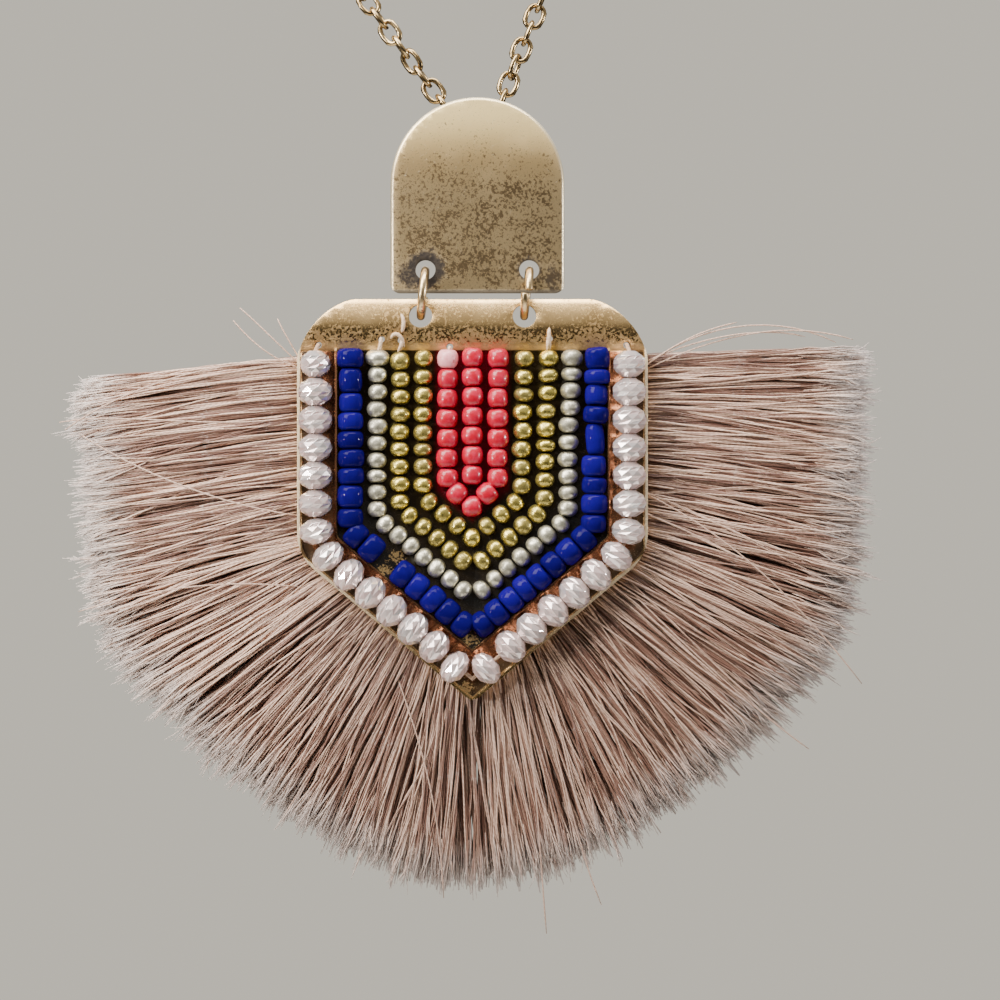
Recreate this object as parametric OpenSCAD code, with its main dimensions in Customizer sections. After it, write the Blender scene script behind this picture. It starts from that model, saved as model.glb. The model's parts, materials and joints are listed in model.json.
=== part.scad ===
// Tassel necklace: a fine chain, an arched plaque, and a beaded shield with a fan of silky fringe.
// Millimetres, +Z up, -Y towards the viewer. The origin is where the closed chain rests on the nape.

/* [Hang] */
// Height of the plaque's top below the nape
plaque_drop = 169.7; // [160:0.1:185]
// Distance of the pendant's hinge plane in front of the nape
pendant_reach = 128; // [125:1:131]
// Offset of the plaque to the right of the shield's middle
plaque_offset = 0.5; // [0:0.1:0.6]

/* [Plaque] */
// Width of the arched plaque
plaque_w = 18.1; // [16.5:0.1:20]
// Height of the arched plaque
plaque_h = 20.4; // [18.5:0.1:23]
// Thickness of the plaque at its edge
plaque_edge_t = 0.8; // [0.7:0.05:0.9]
// Rise of the plaque's domed face over its edge
plaque_crown = 0.4; // [0.2:0.05:0.5]
// Radius of the plaque's two lower corners
plaque_corner_r = 1; // [0.6:0.1:1.5]
// Rounding of the plaque's front edge
plaque_edge_round = 0.35; // [0.2:0.05:0.5]
// Diameter of the two holes near the plaque's lower edge
plaque_hole_d = 2.1; // [2.05:0.05:2.3]
// Height of those holes over the plaque's lower edge
plaque_hole_rise = 2.4; // [2.2:0.05:2.5]
// Wire of the two eyes soldered to the plaque's back
eye_wire = 0.7; // [0.5:0.05:0.8]
// Radius of the middle of an eye's wire
eye_r = 1.4; // [1.3:0.05:1.6]
// Distance between the two eyes
eye_spacing = 2.7; // [2.6:0.05:3.2]
// Depth of the eyes below the plaque's top
eye_drop = 3.6; // [3.4:0.1:4.2]

/* [Jump rings] */
// Distance between the two jump rings, and between the holes that they pass through
ring_spacing = 10.8; // [9:0.1:12]
// Wire of the jump rings
ring_wire = 0.85; // [0.7:0.05:0.95]
// Diameter across the middle of a jump ring's wire
ring_mean_d = 4.85; // [4.7:0.05:5.2]
// Angle of the slit where a jump ring closes
ring_slit = 4; // [2:1:10]

/* [Shield] */
// Width of the shield
shield_w = 36.4; // [35.6:0.1:38]
// Height of the shield from its top edge to its tip
shield_h = 41.9; // [40:0.1:45]
// Width of the shield's top edge between its rounded corners
shield_top_w = 24.4; // [22:0.1:26]
// Depth of the rounded top corners
shoulder_drop = 6.3; // [5.6:0.1:7]
// Slope of the two lower edges below level
v_angle = 40; // [38:0.5:42]
// Radius of the two side corners
side_r = 5; // [4.5:0.1:6]
// Radius of the tip
tip_r = 1; // [0.5:0.1:1.5]
// Thickness of the shield's floor
floor_t = 0.7; // [0.6:0.05:0.8]
// Thickness of the outer rim
rim_t = 0.3; // [0.25:0.05:0.4]
// Height of the outer rim and of the inner wall over the floor
rim_h = 0.9; // [0.6:0.05:1]
// Thickness of the wall between the glass stones and the seed beads
wall_t = 0.25; // [0.2:0.05:0.35]
// Height of the raised bar along the top
band_h = 5.3; // [5:0.1:5.6]
// Height of the bar's top edge over the floor
band_top_edge = 0.2; // [0.1:0.05:0.3]
// Height of the bar's lower edge over the floor
band_low_edge = 0.45; // [0.3:0.05:0.6]
// Bulge of the bar's middle over its two edges
band_bulge = 0.65; // [0.4:0.05:0.7]
// Diameter of the shield's two hanging holes
shield_hole_d = 2.45; // [2.4:0.05:2.6]
// Depth of those holes below the shield's top edge
shield_hole_drop = 1.75; // [1.7:0.05:1.9]
// Diameter of the small holes that the bead threads pass through
thread_hole_d = 0.7; // [0.6:0.05:0.8]

/* [Glass stones] */
// Stones on each side of the shield
stones_per_side = 14; // [10:1:14]
// Diameter of a faceted glass stone
stone_d = 3.7; // [3.3:0.05:3.8]
// Thickness of a stone along its thread
stone_t = 2.55; // [2:0.05:2.6]
// Diameter of a stone's drilled hole
stone_hole_d = 1.1; // [1:0.05:1.2]
// Facets around a stone
stone_facets = 12; // [10:1:14]
// Reach of a stone over the outer rim
stone_overhang = 0.2; // [0.15:0.05:0.25]
// Radius of the bend of the stones' thread at the side corners
stone_bend_r = 6; // [5.8:0.1:6.2]
// Diameter of the stones' thread
thread_d = 0.4; // [0.3:0.05:0.45]

/* [Seed beads] */
// Diameter of the blue beads
blue_d = 2.8; // [2.3:0.1:2.9]
// Diameter of the silver beads
silver_d = 2; // [1.8:0.05:2.1]
// Diameter of the gold beads
gold_d = 2.1; // [1.8:0.05:2.15]
// Diameter of the pink beads
pink_d = 2.3; // [2:0.05:2.35]

/* [Fringe] */
// Length of the fringe beyond the shield's edge
fringe_length = 23; // [18:0.5:30]
// Thickness of the fringe at its fullest
fringe_t = 3; // [2.4:0.1:3.6]
// Thickness of the fringe's bound head behind the shield
head_t = 2; // [1.6:0.1:2.2]
// Depth of the bound head inside the shield's edge
head_inset = 2.6; // [2:0.1:3.5]
// Locks of fringe on each side
locks_per_side = 15; // [12:1:18]

/* [Chain] */
// Width of the chain
chain_w = 2; // [1.6:0.1:2.3]
// Wire of the two rings between plaque and chain
end_ring_wire = 0.6; // [0.5:0.05:0.7]
// Radius of the middle of such a ring's wire
end_ring_r = 1.45; // [1.35:0.05:1.5]
// Lean of the left strand away from upright where it leaves the plaque
left_lean = 36; // [30:1:38]
// Lean of the right strand away from upright where it leaves the plaque
right_lean = 20; // [18:1:24]

/* [Clasp] */
// Length of the clasp's body between its loop and its eye
clasp_body = 8; // [7:0.5:12]
// Thickness of the clasp
clasp_t = 1.8; // [1.4:0.1:2]
// Outer radius of the clasp's loop
clasp_loop_r = 3; // [2.8:0.1:3.3]
// Radius of the hole in the clasp's loop
clasp_hole_r = 1.6; // [1.5:0.05:1.7]
// Outer radius of the clasp's eye
clasp_eye_r = 1.8; // [1.6:0.1:2]
// Radius of the hole in the clasp's eye
clasp_eye_hole_r = 0.9; // [0.7:0.05:1]
// Wire of the ring that the clasp holds
clasp_ring_wire = 0.7; // [0.6:0.05:0.8]
// Radius of the middle of that ring's wire
clasp_ring_r = 2.2; // [2.1:0.1:3]

/* [Hidden] */
STONE_NODES = [for (k = [1:2 * stones_per_side]) str("stone_", k < 10 ? "0" : "", k)];

// Clearances
loose_gap = 0.1;
chain_gap = 0.2;
arch_gap = 0.4;
row_top_gap = 0.15;
stone_top_gap = 0.25;
clasp_play = 0.5;

// How far a wall runs into the bar, how far a cut runs past its target, and the least bend of a path
wall_seat = 0.2;
cut_past = 1;
least_bend = 0.3;

// Number of sides of swept tubes, and of small and large round forms
tube_sides = 8;
wire_fn = 24;
ring_fn = 64;

// Heights along the pendant, worked out from the plaque's top
plaque_top = -plaque_drop;
plaque_bottom = plaque_top - plaque_h;
plaque_hole_z = plaque_bottom + plaque_hole_rise;
plaque_spring = plaque_top - plaque_w / 2;
ring_drop = sqrt(pow(ring_mean_d, 2) - pow(plaque_offset, 2));
shield_hole_z = plaque_hole_z - ring_drop;
shield_top = shield_hole_z + shield_hole_drop;

// Depth of the hinge plane, and of the plaque and shield on it: the rings pass through the middle of both
hinge_y = -pendant_reach;
plaque_half_w = plaque_w / 2;
plaque_front_at_hole = plaque_edge_t / 2 + plaque_crown * (1 - pow(ring_spacing / 2 / plaque_half_w, 2));
plaque_y = hinge_y + (plaque_front_at_hole - plaque_edge_t / 2) / 2;
band_share_at_hole = (shield_hole_drop - shield_hole_d / 2) / band_h;
shield_y = hinge_y - (floor_t - band_front(band_share_at_hole)) / 2;

// Shape of the shield
shield_half = shield_w / 2;
turn = 90 - v_angle;

// Insets from the shield's edge to the middle of each row of beads
stone_inset = rim_t + stone_d / 2 - stone_overhang;
wall_inset = stone_inset + stone_d / 2 + loose_gap;
blue_inset = wall_inset + wall_t + blue_d / 2 + loose_gap / 2;
rows_width = blue_inset + blue_d / 2 + silver_d + 2 * gold_d + pink_d + pink_d / 2;
row_gap = (shield_half - rows_width) / 5;
silver_inset = blue_inset + (blue_d + silver_d) / 2 + row_gap;
gold_outer_inset = silver_inset + (silver_d + gold_d) / 2 + row_gap;
gold_inner_inset = gold_outer_inset + gold_d + row_gap;
pink_outer_inset = gold_inner_inset + (gold_d + pink_d) / 2 + row_gap;

// A stone stands high enough to lean over the rim without touching it
stone_rest_half_w = stone_d / 2 - stone_overhang - loose_gap;
stone_lift = rim_h + sqrt(pow(stone_d / 2, 2) - pow(stone_rest_half_w, 2));

// Facet rings of a stone: share of its radius, share of its thickness, and turn as a share of one facet
STONE_PROFILE = [
  [0.36, 0.50, 0],
  [0.76, 0.37, 0.5],
  [0.966, 0.17, 0],
  [1.00, 0.00, 0.5],
  [0.966, -0.17, 0],
  [0.76, -0.37, 0.5],
  [0.36, -0.50, 0]
];
// Where the two mouths of a stone's hole lie, as a share of its thickness
STONE_MOUTHS = [-0.48, 0.48];

// How round a top corner is, 1 for an ellipse and more for a fuller slope, and the points along it
shoulder_power = 1.25;
shoulder_steps = 12;

// Half heights of the clasp's body beside its loop and its eye, as shares of their outer radii
CLASP_TAPER = [0.95, 0.7];

// Small thread holes in the bar: share of the shield's half width, share of the bar's height below its top
THREAD_HOLES = [[-0.88, 0.9], [-0.52, 0.79], [-0.41, 0.8], [-0.13, 0.93], [0.44, 0.77], [0.88, 0.9]];

// Fringe along one side, from the top of the side to the tip: share of the way, fall below level on the left
// and on the right, and reach as a share of the fringe's length
FRINGE_TABLE = [
  [0.00, 6, -3, 1.00],
  [0.25, 5, 3, 0.98],
  [0.45, 14, 12, 0.975],
  [0.55, 28, 27, 0.955],
  [0.70, 46, 45, 0.935],
  [0.85, 67, 66, 0.93],
  [1.00, 90, 90, 0.91]
];

// Sections of a lock from root to tip: share of its reach, share of the way from root width to tip width,
// share of that width, and share of the fringe's thickness
LOCK_SECTIONS = [[0.5, 0.5, 1, 1], [0.93, 1, 1, 0.8], [0.99, 1, 0.8, 0.4]];
lock_slice = 0.2;
// A lock's root and tip widths as shares of its portion, how ragged its reach is, and the step between layers
lock_root_share = 1.2;
lock_tip_share = 1.15;
lock_ragged = 0.025;
lock_layer_share = 0.15;
// How far the head reaches out past the locks' roots, and how far it stays below the bar
head_margin = 0.8;
head_top_gap = 0.6;

// Where the middle of a strand lies on its way from the clasp down to its end ring, chosen by hand
LEFT_ROUTE = [
  [-22, -2.5, -1.5],
  [-37, -10.5, -5],
  [-49.5, -23.5, -11],
  [-57.5, -40.5, -19.5],
  [-60, -59, -30.5],
  [-58, -76, -44],
  [-52.5, -92.5, -64.5],
  [-45, -105, -87],
  [-37, -114.5, -110.5],
  [-26.5, -121, -134.5],
  [-14, -125, -155]
];
RIGHT_ROUTE = [
  [20, -2.5, -1.5],
  [36, -10, -5],
  [49, -23, -11],
  [57.5, -40.5, -19.5],
  [60, -59, -30.5],
  [57.5, -76, -44],
  [51.5, -92.5, -65],
  [41.5, -105, -88],
  [29.5, -115, -112],
  [17.5, -121.5, -136],
  [7.7, -125.5, -158]
];
route_steps = 2;

// Vectors
function unit(v) = v / norm(v);
function mix(a, b, share) = a + (b - a) * share;

// The point and heading on one side's path, at an inset from the shield's edge and a length below the bar
function bend_z(inset) = -shield_h + inset / cos(v_angle) + (shield_half - inset) * tan(v_angle);
function side_length(inset, r) = -band_h - bend_z(inset) - r * tan(turn / 2);
function bend_length(r) = r * turn * PI / 180;
function slope_length(inset, r) = (shield_half - inset) / cos(v_angle) - r * tan(turn / 2);
function path_length(inset, r) = side_length(inset, r) + bend_length(r) + slope_length(inset, r);
function on_bend(inset, r, angle) =
  [shield_half - inset - r + r * cos(angle), bend_z(inset) + r * tan(turn / 2) - r * sin(angle)];
function on_path(inset, r, s) =
  let (side = side_length(inset, r), bend = bend_length(r))
  s <= side ? [shield_half - inset, -band_h - s, 0]
  : s <= side + bend ? concat(on_bend(inset, r, (s - side) / bend * turn), [(s - side) / bend * turn])
  : concat(on_bend(inset, r, turn) - (s - side - bend) * [cos(v_angle), sin(v_angle)], [turn]);

// One side of the path as a few points, from a height down to the tip, without the tip
function half_path(inset, top, steps = 6) =
  let (r = side_r - inset)
  concat(
    [[shield_half - inset, top]],
    r > least_bend ? [for (k = [0:steps]) on_bend(inset, r, turn * k / steps)]
      : [[shield_half - inset, bend_z(inset)]]
  );
function mirrored(points) = [for (k = [len(points) - 1:-1:0]) [-points[k][0], points[k][1]]];
function apex(inset) = [0, -shield_h + inset / cos(v_angle)];
function whole_path(inset, top) =
  let (side = half_path(inset, top))
  concat(side, [apex(inset)], mirrored(side));

// The rounded tip of the shield's outline
function tip_arc(r, steps = 6) =
  let (centre_z = -shield_h + r / cos(v_angle))
  [for (k = [0:steps]) let (a = mix(v_angle, -v_angle, k / steps)) [r * sin(a), centre_z - r * cos(a)]];

// The height of the bar's face over the floor, at a share of its way down
function band_front(share) = mix(band_top_edge, band_low_edge, share) + band_bulge * sin(180 * share);

// The fringe table's row at a share of the way
function fringe_row(share) =
  let (k = min([for (j = [1:len(FRINGE_TABLE) - 1]) if (share <= FRINGE_TABLE[j][0]) j]),
    a = FRINGE_TABLE[k - 1], b = FRINGE_TABLE[k])
  mix(a, b, (share - a[0]) / (b[0] - a[0]));

// A smooth curve through the route's points
function curve_point(a, b, c, d, t) =
  0.5 * (2 * b + (c - a) * t + (2 * a - 5 * b + 4 * c - d) * t * t + (3 * b - a - 3 * c + d) * t * t * t);
function smooth_route(p, steps) =
  let (n = len(p))
  concat(
    [for (k = [0:n - 2], j = [0:steps - 1])
      curve_point(p[max(k - 1, 0)], p[k], p[k + 1], p[min(k + 2, n - 1)], j / steps)],
    [p[n - 1]]
  );

// A tube swept along points, with its bends mitred
function heading(p, k) =
  k == 0 ? unit(p[1] - p[0])
  : k == len(p) - 1 ? unit(p[k] - p[k - 1])
  : unit(unit(p[k + 1] - p[k]) + unit(p[k] - p[k - 1]));
function mitre(p, k) =
  k == 0 || k == len(p) - 1 ? 1 : 1 / (heading(p, k) * unit(p[k + 1] - p[k]));

module tube(points, d) {
  n = len(points);
  rings = [for (k = [0:n - 1])
    let (t = heading(points, k), across = unit([0, 1, 0] - t[1] * t), aside = cross(t, across))
    for (j = [0:tube_sides - 1])
      let (angle = 360 * (j + 0.5) / tube_sides)
      points[k] + d / 2 * (cos(angle) * across + sin(angle) * mitre(points, k) * aside)];
  walls = [for (k = [0:n - 2], j = [0:tube_sides - 1])
    let (a = k * tube_sides + j, b = k * tube_sides + (j + 1) % tube_sides)
    each [[a, a + tube_sides, b + tube_sides], [a, b + tube_sides, b]]];
  start = [for (j = [0:tube_sides - 1]) j];
  end = [for (j = [tube_sides - 1:-1:0]) (n - 1) * tube_sides + j];
  polyhedron(rings, concat(walls, [start, end]), convexity = 10);
}

// A flat shape drawn in X and Z, from one depth to another
module extrude_depth(front, back) {
  translate([0, back, 0]) rotate([90, 0, 0]) linear_extrude(back - front) children();
}

// A ring of round wire about the Z axis, open by an angle on its +X side
module wire_ring(r, wire, slit = 0) {
  rotate([0, 0, slit / 2]) rotate_extrude(angle = 360 - slit, $fn = ring_fn)
    translate([r, 0]) circle(d = wire, $fn = wire_fn);
}

// Plaque
function plaque_face(x) = plaque_edge_t / 2 + plaque_crown * (1 - pow(x / plaque_half_w, 2));
function plaque_profile(steps = 12, edge_steps = 4) =
  let (flat_half = plaque_half_w - plaque_edge_round,
    edge_centre = plaque_face(plaque_half_w) - plaque_edge_round)
  concat(
    [[0, -plaque_edge_t / 2]],
    [for (k = [0:steps]) [flat_half * k / steps, plaque_face(flat_half * k / steps)]],
    [for (k = [1:edge_steps]) let (a = 90 * k / edge_steps)
      [flat_half + plaque_edge_round * sin(a), edge_centre + plaque_edge_round * cos(a)]],
    [[plaque_half_w, -plaque_edge_t / 2]]
  );

module plaque_arch() {
  translate([0, plaque_y, plaque_spring]) rotate([90, 0, 0])
    rotate_extrude(angle = 180, $fn = ring_fn) polygon(plaque_profile());
}

// The lower part's outline, square at its top and rounded at its two lower corners
module plaque_lower_outline() {
  for (side = [-1, 1])
    translate([side * (plaque_half_w - plaque_corner_r), plaque_bottom + plaque_corner_r])
      circle(r = plaque_corner_r, $fn = ring_fn);
  translate([plaque_corner_r - plaque_half_w, plaque_bottom])
    square([plaque_w - 2 * plaque_corner_r, plaque_h]);
  translate([-plaque_w, plaque_bottom + plaque_corner_r])
    square([2 * plaque_w, plaque_h]);
}

module plaque_lower() {
  half = plaque_profile();
  section = concat(
    [for (k = [1:len(half) - 1]) [half[k][0], -half[k][1]]],
    [for (k = [len(half) - 1:-1:2]) [-half[k][0], -half[k][1]]]
  );
  intersection() {
    translate([0, plaque_y, plaque_bottom]) linear_extrude(plaque_spring - plaque_bottom) polygon(section);
    extrude_depth(plaque_y - plaque_h, plaque_y + plaque_h) plaque_lower_outline();
  }
}

// An eye stands in line with its strand, its ends sunk in the plate
eye_y = plaque_y + plaque_edge_t / 4;
module plaque_eye(side, lean) {
  translate([side * eye_spacing / 2, eye_y, plaque_top - eye_drop]) rotate([0, side * lean - 90, 0])
    rotate_extrude(angle = 180, $fn = ring_fn) translate([eye_r, 0]) circle(d = eye_wire, $fn = wire_fn);
}

module plaque() {
  color([0.74, 0.63, 0.43]) translate([plaque_offset, 0, 0]) difference() {
    union() {
      plaque_arch();
      plaque_lower();
      plaque_eye(-1, left_lean);
      plaque_eye(1, right_lean);
    }
    for (side = [-1, 1])
      translate([side * ring_spacing / 2, plaque_y + plaque_h / 2, plaque_hole_z]) rotate([90, 0, 0])
        cylinder(d = plaque_hole_d, h = plaque_h, $fn = ring_fn);
  }
}

// End rings between the plaque's eyes and the strands
end_ring_y = eye_y + eye_r - eye_wire / 2 - loose_gap - end_ring_wire / 2;
function strand_way(side, lean) = [side * sin(lean), 0, cos(lean)];
function eye_place(side) = [plaque_offset + side * eye_spacing / 2, end_ring_y, plaque_top - eye_drop];
function end_ring_centre(side, lean) = eye_place(side) + end_ring_r * strand_way(side, lean);

// How far from its eye a strand must start to be clear of the arch as well as of its ring
function way_past_arch(side, lean) =
  let (from_middle = [side * eye_spacing / 2, 0, plaque_half_w - eye_drop],
    along = from_middle * strand_way(side, lean))
  sqrt(pow(along, 2) - from_middle * from_middle + pow(plaque_half_w + arch_gap, 2)) - along;
function strand_end(side, lean) =
  eye_place(side)
    + max(2 * end_ring_r + end_ring_wire / 2 + chain_gap, way_past_arch(side, lean)) * strand_way(side, lean);

module end_ring(side, lean) {
  color([0.7, 0.58, 0.38]) translate(end_ring_centre(side, lean)) rotate([90, 0, 0])
    wire_ring(end_ring_r, end_ring_wire);
}

// Strands
module strand(route, start, end) {
  color([0.62, 0.52, 0.34]) tube(smooth_route(concat([start], route, [end]), route_steps), chain_w);
}
module chain_left() {
  strand(LEFT_ROUTE, [clasp_left_end - chain_gap, 0, 0], strand_end(-1, left_lean));
}
module chain_right() {
  strand(RIGHT_ROUTE, [clasp_ring_x + clasp_ring_r + clasp_ring_wire / 2 + chain_gap, 0, 0],
    strand_end(1, right_lean));
}

// Clasp at the nape, with its loop round the origin
clasp_eye_x = -clasp_body;
clasp_left_end = clasp_eye_x - clasp_eye_r;
clasp_ring_x = clasp_hole_r - clasp_ring_wire / 2 - clasp_play + clasp_ring_r;

module clasp() {
  color([0.7, 0.58, 0.38]) extrude_depth(-clasp_t / 2, clasp_t / 2) difference() {
    union() {
      circle(r = clasp_loop_r, $fn = ring_fn);
      translate([clasp_eye_x, 0]) circle(r = clasp_eye_r, $fn = ring_fn);
      polygon([
        [0, clasp_loop_r * CLASP_TAPER[0]],
        [clasp_eye_x, clasp_eye_r * CLASP_TAPER[1]],
        [clasp_eye_x, -clasp_eye_r * CLASP_TAPER[1]],
        [0, -clasp_loop_r * CLASP_TAPER[0]]
      ]);
    }
    circle(r = clasp_hole_r, $fn = ring_fn);
    translate([clasp_eye_x, 0]) circle(r = clasp_eye_hole_r, $fn = ring_fn);
  }
}

module clasp_ring() {
  color([0.7, 0.58, 0.38]) translate([clasp_ring_x, 0, 0]) wire_ring(clasp_ring_r, clasp_ring_wire);
}

// Jump rings: the left one closes at the back, and the right one shows its slit at the front
module jump_ring(side) {
  color([0.75, 0.64, 0.44])
    translate([(side * ring_spacing + plaque_offset) / 2, hinge_y, (plaque_hole_z + shield_hole_z) / 2])
      rotate([0, 90 + atan2(plaque_offset, ring_drop), 0]) rotate([0, 0, side * -90])
        wire_ring(ring_mean_d / 2, ring_wire, ring_slit);
}
module jump_ring_left() { jump_ring(-1); }
module jump_ring_right() { jump_ring(1); }

// Shield
function shoulder_point(angle) =
  [mix(shield_top_w / 2, shield_half, pow(sin(angle), shoulder_power)),
    shoulder_drop * (pow(cos(angle), shoulder_power) - 1)];
module shield_outline() {
  shoulder = [for (k = [0:shoulder_steps - 1]) shoulder_point(90 * k / shoulder_steps)];
  right = concat(shoulder, half_path(0, -shoulder_drop));
  polygon(concat(right, tip_arc(tip_r), mirrored(right)));
}
module tray_outline(inset, top) {
  polygon(whole_path(inset, top));
}

module shield_band() {
  steps = 10;
  face = [for (k = [0:steps]) [-band_front(k / steps), -band_h * k / steps]];
  intersection() {
    translate([-shield_w, 0, 0]) rotate([90, 0, 90]) linear_extrude(2 * shield_w)
      polygon(concat([[floor_t / 2, 0]], face, [[floor_t / 2, -band_h]]));
    extrude_depth(-shield_h, shield_h) shield_outline();
  }
}

module shield_rim() {
  extrude_depth(-rim_h, floor_t / 2) difference() {
    shield_outline();
    tray_outline(rim_t, -band_h);
    translate([-shield_w, -band_h]) square([2 * shield_w, 2 * band_h]);
  }
}

module shield_wall() {
  extrude_depth(-rim_h, floor_t / 2) difference() {
    tray_outline(wall_inset, -band_h + wall_seat);
    tray_outline(wall_inset + wall_t, -band_h + wall_seat + cut_past);
  }
}

module thread_holes() {
  for (hole = THREAD_HOLES)
    translate([hole[0] * shield_half, shield_h / 2, -hole[1] * band_h]) rotate([90, 0, 0])
      cylinder(d = thread_hole_d, h = shield_h, $fn = wire_fn);
}

module hanging_holes() {
  for (side = [-1, 1])
    translate([side * ring_spacing / 2, shield_h / 2, -shield_hole_drop]) rotate([90, 0, 0])
      cylinder(d = shield_hole_d, h = shield_h, $fn = ring_fn);
}

module shield() {
  color([0.76, 0.6, 0.42]) translate([0, shield_y, shield_top]) difference() {
    union() {
      extrude_depth(0, floor_t) shield_outline();
      shield_band();
      shield_rim();
      shield_wall();
    }
    hanging_holes();
    thread_holes();
  }
}

// Glass stones: the last one on each side stops short of the middle, so that the two don't touch
stone_tip_gap = (max([for (row = STONE_PROFILE)
  row[0] * stone_d / 2 * sin(v_angle) + row[1] * stone_t * cos(v_angle)]) + loose_gap) / cos(v_angle);
stone_first = stone_t / 2 + stone_top_gap;
stone_pitch = (path_length(stone_inset, stone_bend_r) - stone_first - stone_tip_gap) / (stones_per_side - 1);

module stone_body() {
  n = stone_facets;
  rings = len(STONE_PROFILE);
  outer = [for (row = STONE_PROFILE, j = [0:n - 1])
    let (angle = 360 * (j + row[2]) / n)
    [row[0] * stone_d / 2 * cos(angle), row[0] * stone_d / 2 * sin(angle), row[1] * stone_t]];
  hole = [for (end = STONE_MOUTHS, j = [0:n - 1])
    [stone_hole_d / 2 * cos(360 * j / n), stone_hole_d / 2 * sin(360 * j / n), end * stone_t]];
  band = [for (k = [0:rings + 1], j = [0:n - 1])
    let (a = k * n + j, b = k * n + (j + 1) % n,
      c = ((k + 1) % (rings + 2)) * n + j, d = ((k + 1) % (rings + 2)) * n + (j + 1) % n,
      lead = k < rings - 1 && STONE_PROFILE[k][2] > STONE_PROFILE[k + 1][2])
    each (lead ? [[a, b, d], [a, d, c]] : [[a, b, c], [b, d, c]])];
  polyhedron(concat(outer, hole), band, convexity = 6);
}

module stone(k) {
  right = k > stones_per_side;
  place = on_path(stone_inset, stone_bend_r, stone_first + stone_pitch * ((k - 1) % stones_per_side));
  side = right ? 1 : -1;
  color([0.93, 0.86, 0.85]) translate([side * place[0], shield_y - stone_lift, shield_top + place[1]])
    rotate([0, side * place[2], 0]) stone_body();
}

// The stones' thread runs down one side and up the other, and both ends pass through the bar
module stone_thread() {
  steps = 5;
  depth = shield_y - stone_lift;
  hole_x = THREAD_HOLES[5][0] * shield_half;
  hole_z = -THREAD_HOLES[5][1] * band_h;
  end_rise = thread_d / 8;
  side = concat(
    [[hole_x, shield_y + floor_t, hole_z + end_rise],
      [hole_x, shield_y - rim_h, hole_z],
      [shield_half - stone_inset, depth, -band_h - stone_top_gap]],
    [for (k = [0:steps]) let (p = on_bend(stone_inset, stone_bend_r, turn * k / steps)) [p[0], depth, p[1]]]
  );
  other = [for (k = [len(side) - 1:-1:0]) [-side[k][0], side[k][1], side[k][2]]];
  bottom = apex(stone_inset);
  color([0.9, 0.87, 0.8]) translate([0, 0, shield_top])
    tube(concat(side, [[0, depth, bottom[1]]], other), thread_d);
}

// Rows of seed beads, each a round body that lies just over the floor
module bead_row(inset, d, tint) {
  path = whole_path(inset, -band_h - row_top_gap);
  color(tint) translate([0, shield_y - loose_gap - d / 2, shield_top])
    tube([for (p = path) [p[0], 0, p[1]]], d);
}
module blue_row() { bead_row(blue_inset, blue_d, [0.08, 0.08, 0.6]); }
module silver_row() { bead_row(silver_inset, silver_d, [0.67, 0.67, 0.6]); }
module gold_outer_row() { bead_row(gold_outer_inset, gold_d, [0.6, 0.5, 0.2]); }
module gold_inner_row() { bead_row(gold_inner_inset, gold_d, [0.6, 0.5, 0.2]); }
module pink_outer_row() { bead_row(pink_outer_inset, pink_d, [0.88, 0.2, 0.33]); }
module pink_centre_row() {
  end = apex(pink_outer_inset)[1] + pink_d / 2 / cos(v_angle) + pink_d / 2;
  color([0.88, 0.2, 0.33]) translate([0, shield_y - loose_gap - pink_d / 2, shield_top])
    tube([[0, 0, -band_h - row_top_gap], [0, 0, end]], pink_d);
}

// Fringe: locks that fan out of a bound head behind the shield
head_front = shield_y + floor_t + loose_gap;
lock_y = head_front + head_t / 2;

lock_sides = 8;
module lock_section(reach, w, t) {
  translate([reach, 0, 0]) rotate([0, 90, 0]) linear_extrude(lock_slice)
    scale([w, t]) circle(d = 1, $fn = lock_sides);
}

module fringe_lock(side, k) {
  half_step = 0.5 / locks_per_side;
  share = (2 * k + 1) * half_step;
  bend = max(side_r - head_inset, least_bend);
  length_in = path_length(head_inset, bend);
  root = on_path(head_inset, bend, share * length_in);
  row = fringe_row(share);
  spread = abs(fringe_row(min(share + half_step, 1))[1] - fringe_row(max(share - half_step, 0))[1]);
  ragged = 1 + lock_ragged * sin(137 * k + 40 * side);
  reach = head_inset + fringe_length * row[3] * ragged;
  root_w = length_in / locks_per_side * lock_root_share;
  tip_w = lock_tip_share * (root_w + 2 * reach * tan(spread / 2));
  layer = k % 2 == 0 ? (fringe_t - head_t) * lock_layer_share : 0;
  fall = side < 0 ? row[1] : row[2];
  mirror([side < 0 ? 1 : 0, 0, 0])
    translate([root[0], lock_y + layer, shield_top + root[1]]) rotate([0, fall, 0]) hull() {
      lock_section(0, root_w, head_t);
      for (part = LOCK_SECTIONS)
        lock_section(reach * part[0], mix(root_w, tip_w, part[1]) * part[2], fringe_t * part[3]);
    }
}

module fringe() {
  color([0.73, 0.62, 0.59]) union() {
    translate([0, 0, shield_top]) extrude_depth(head_front, head_front + head_t)
      tray_outline(head_inset - head_margin, -band_h - head_top_gap);
    for (side = [-1, 1], k = [0:locks_per_side - 1]) fringe_lock(side, k);
  }
}

plaque();
end_ring(-1, left_lean);  // end_ring_left
end_ring(1, right_lean);  // end_ring_right
chain_left();
chain_right();
clasp();
clasp_ring();
jump_ring_left();
jump_ring_right();
shield();
fringe();
stone_thread();
blue_row();
silver_row();
gold_outer_row();
gold_inner_row();
pink_outer_row();
pink_centre_row();
for (k = [1:2 * stones_per_side])
  stone(k);
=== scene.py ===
"""Tassel necklace: a fine chain, an arched plaque, and a beaded shield with a fan of silky fringe.

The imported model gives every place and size. This script adds the links, beads, stones, threads and finishes,
and sets the camera, the lights and the floor. Lengths are millimetres until a mesh is published in metres.
"""

from __future__ import annotations

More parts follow.
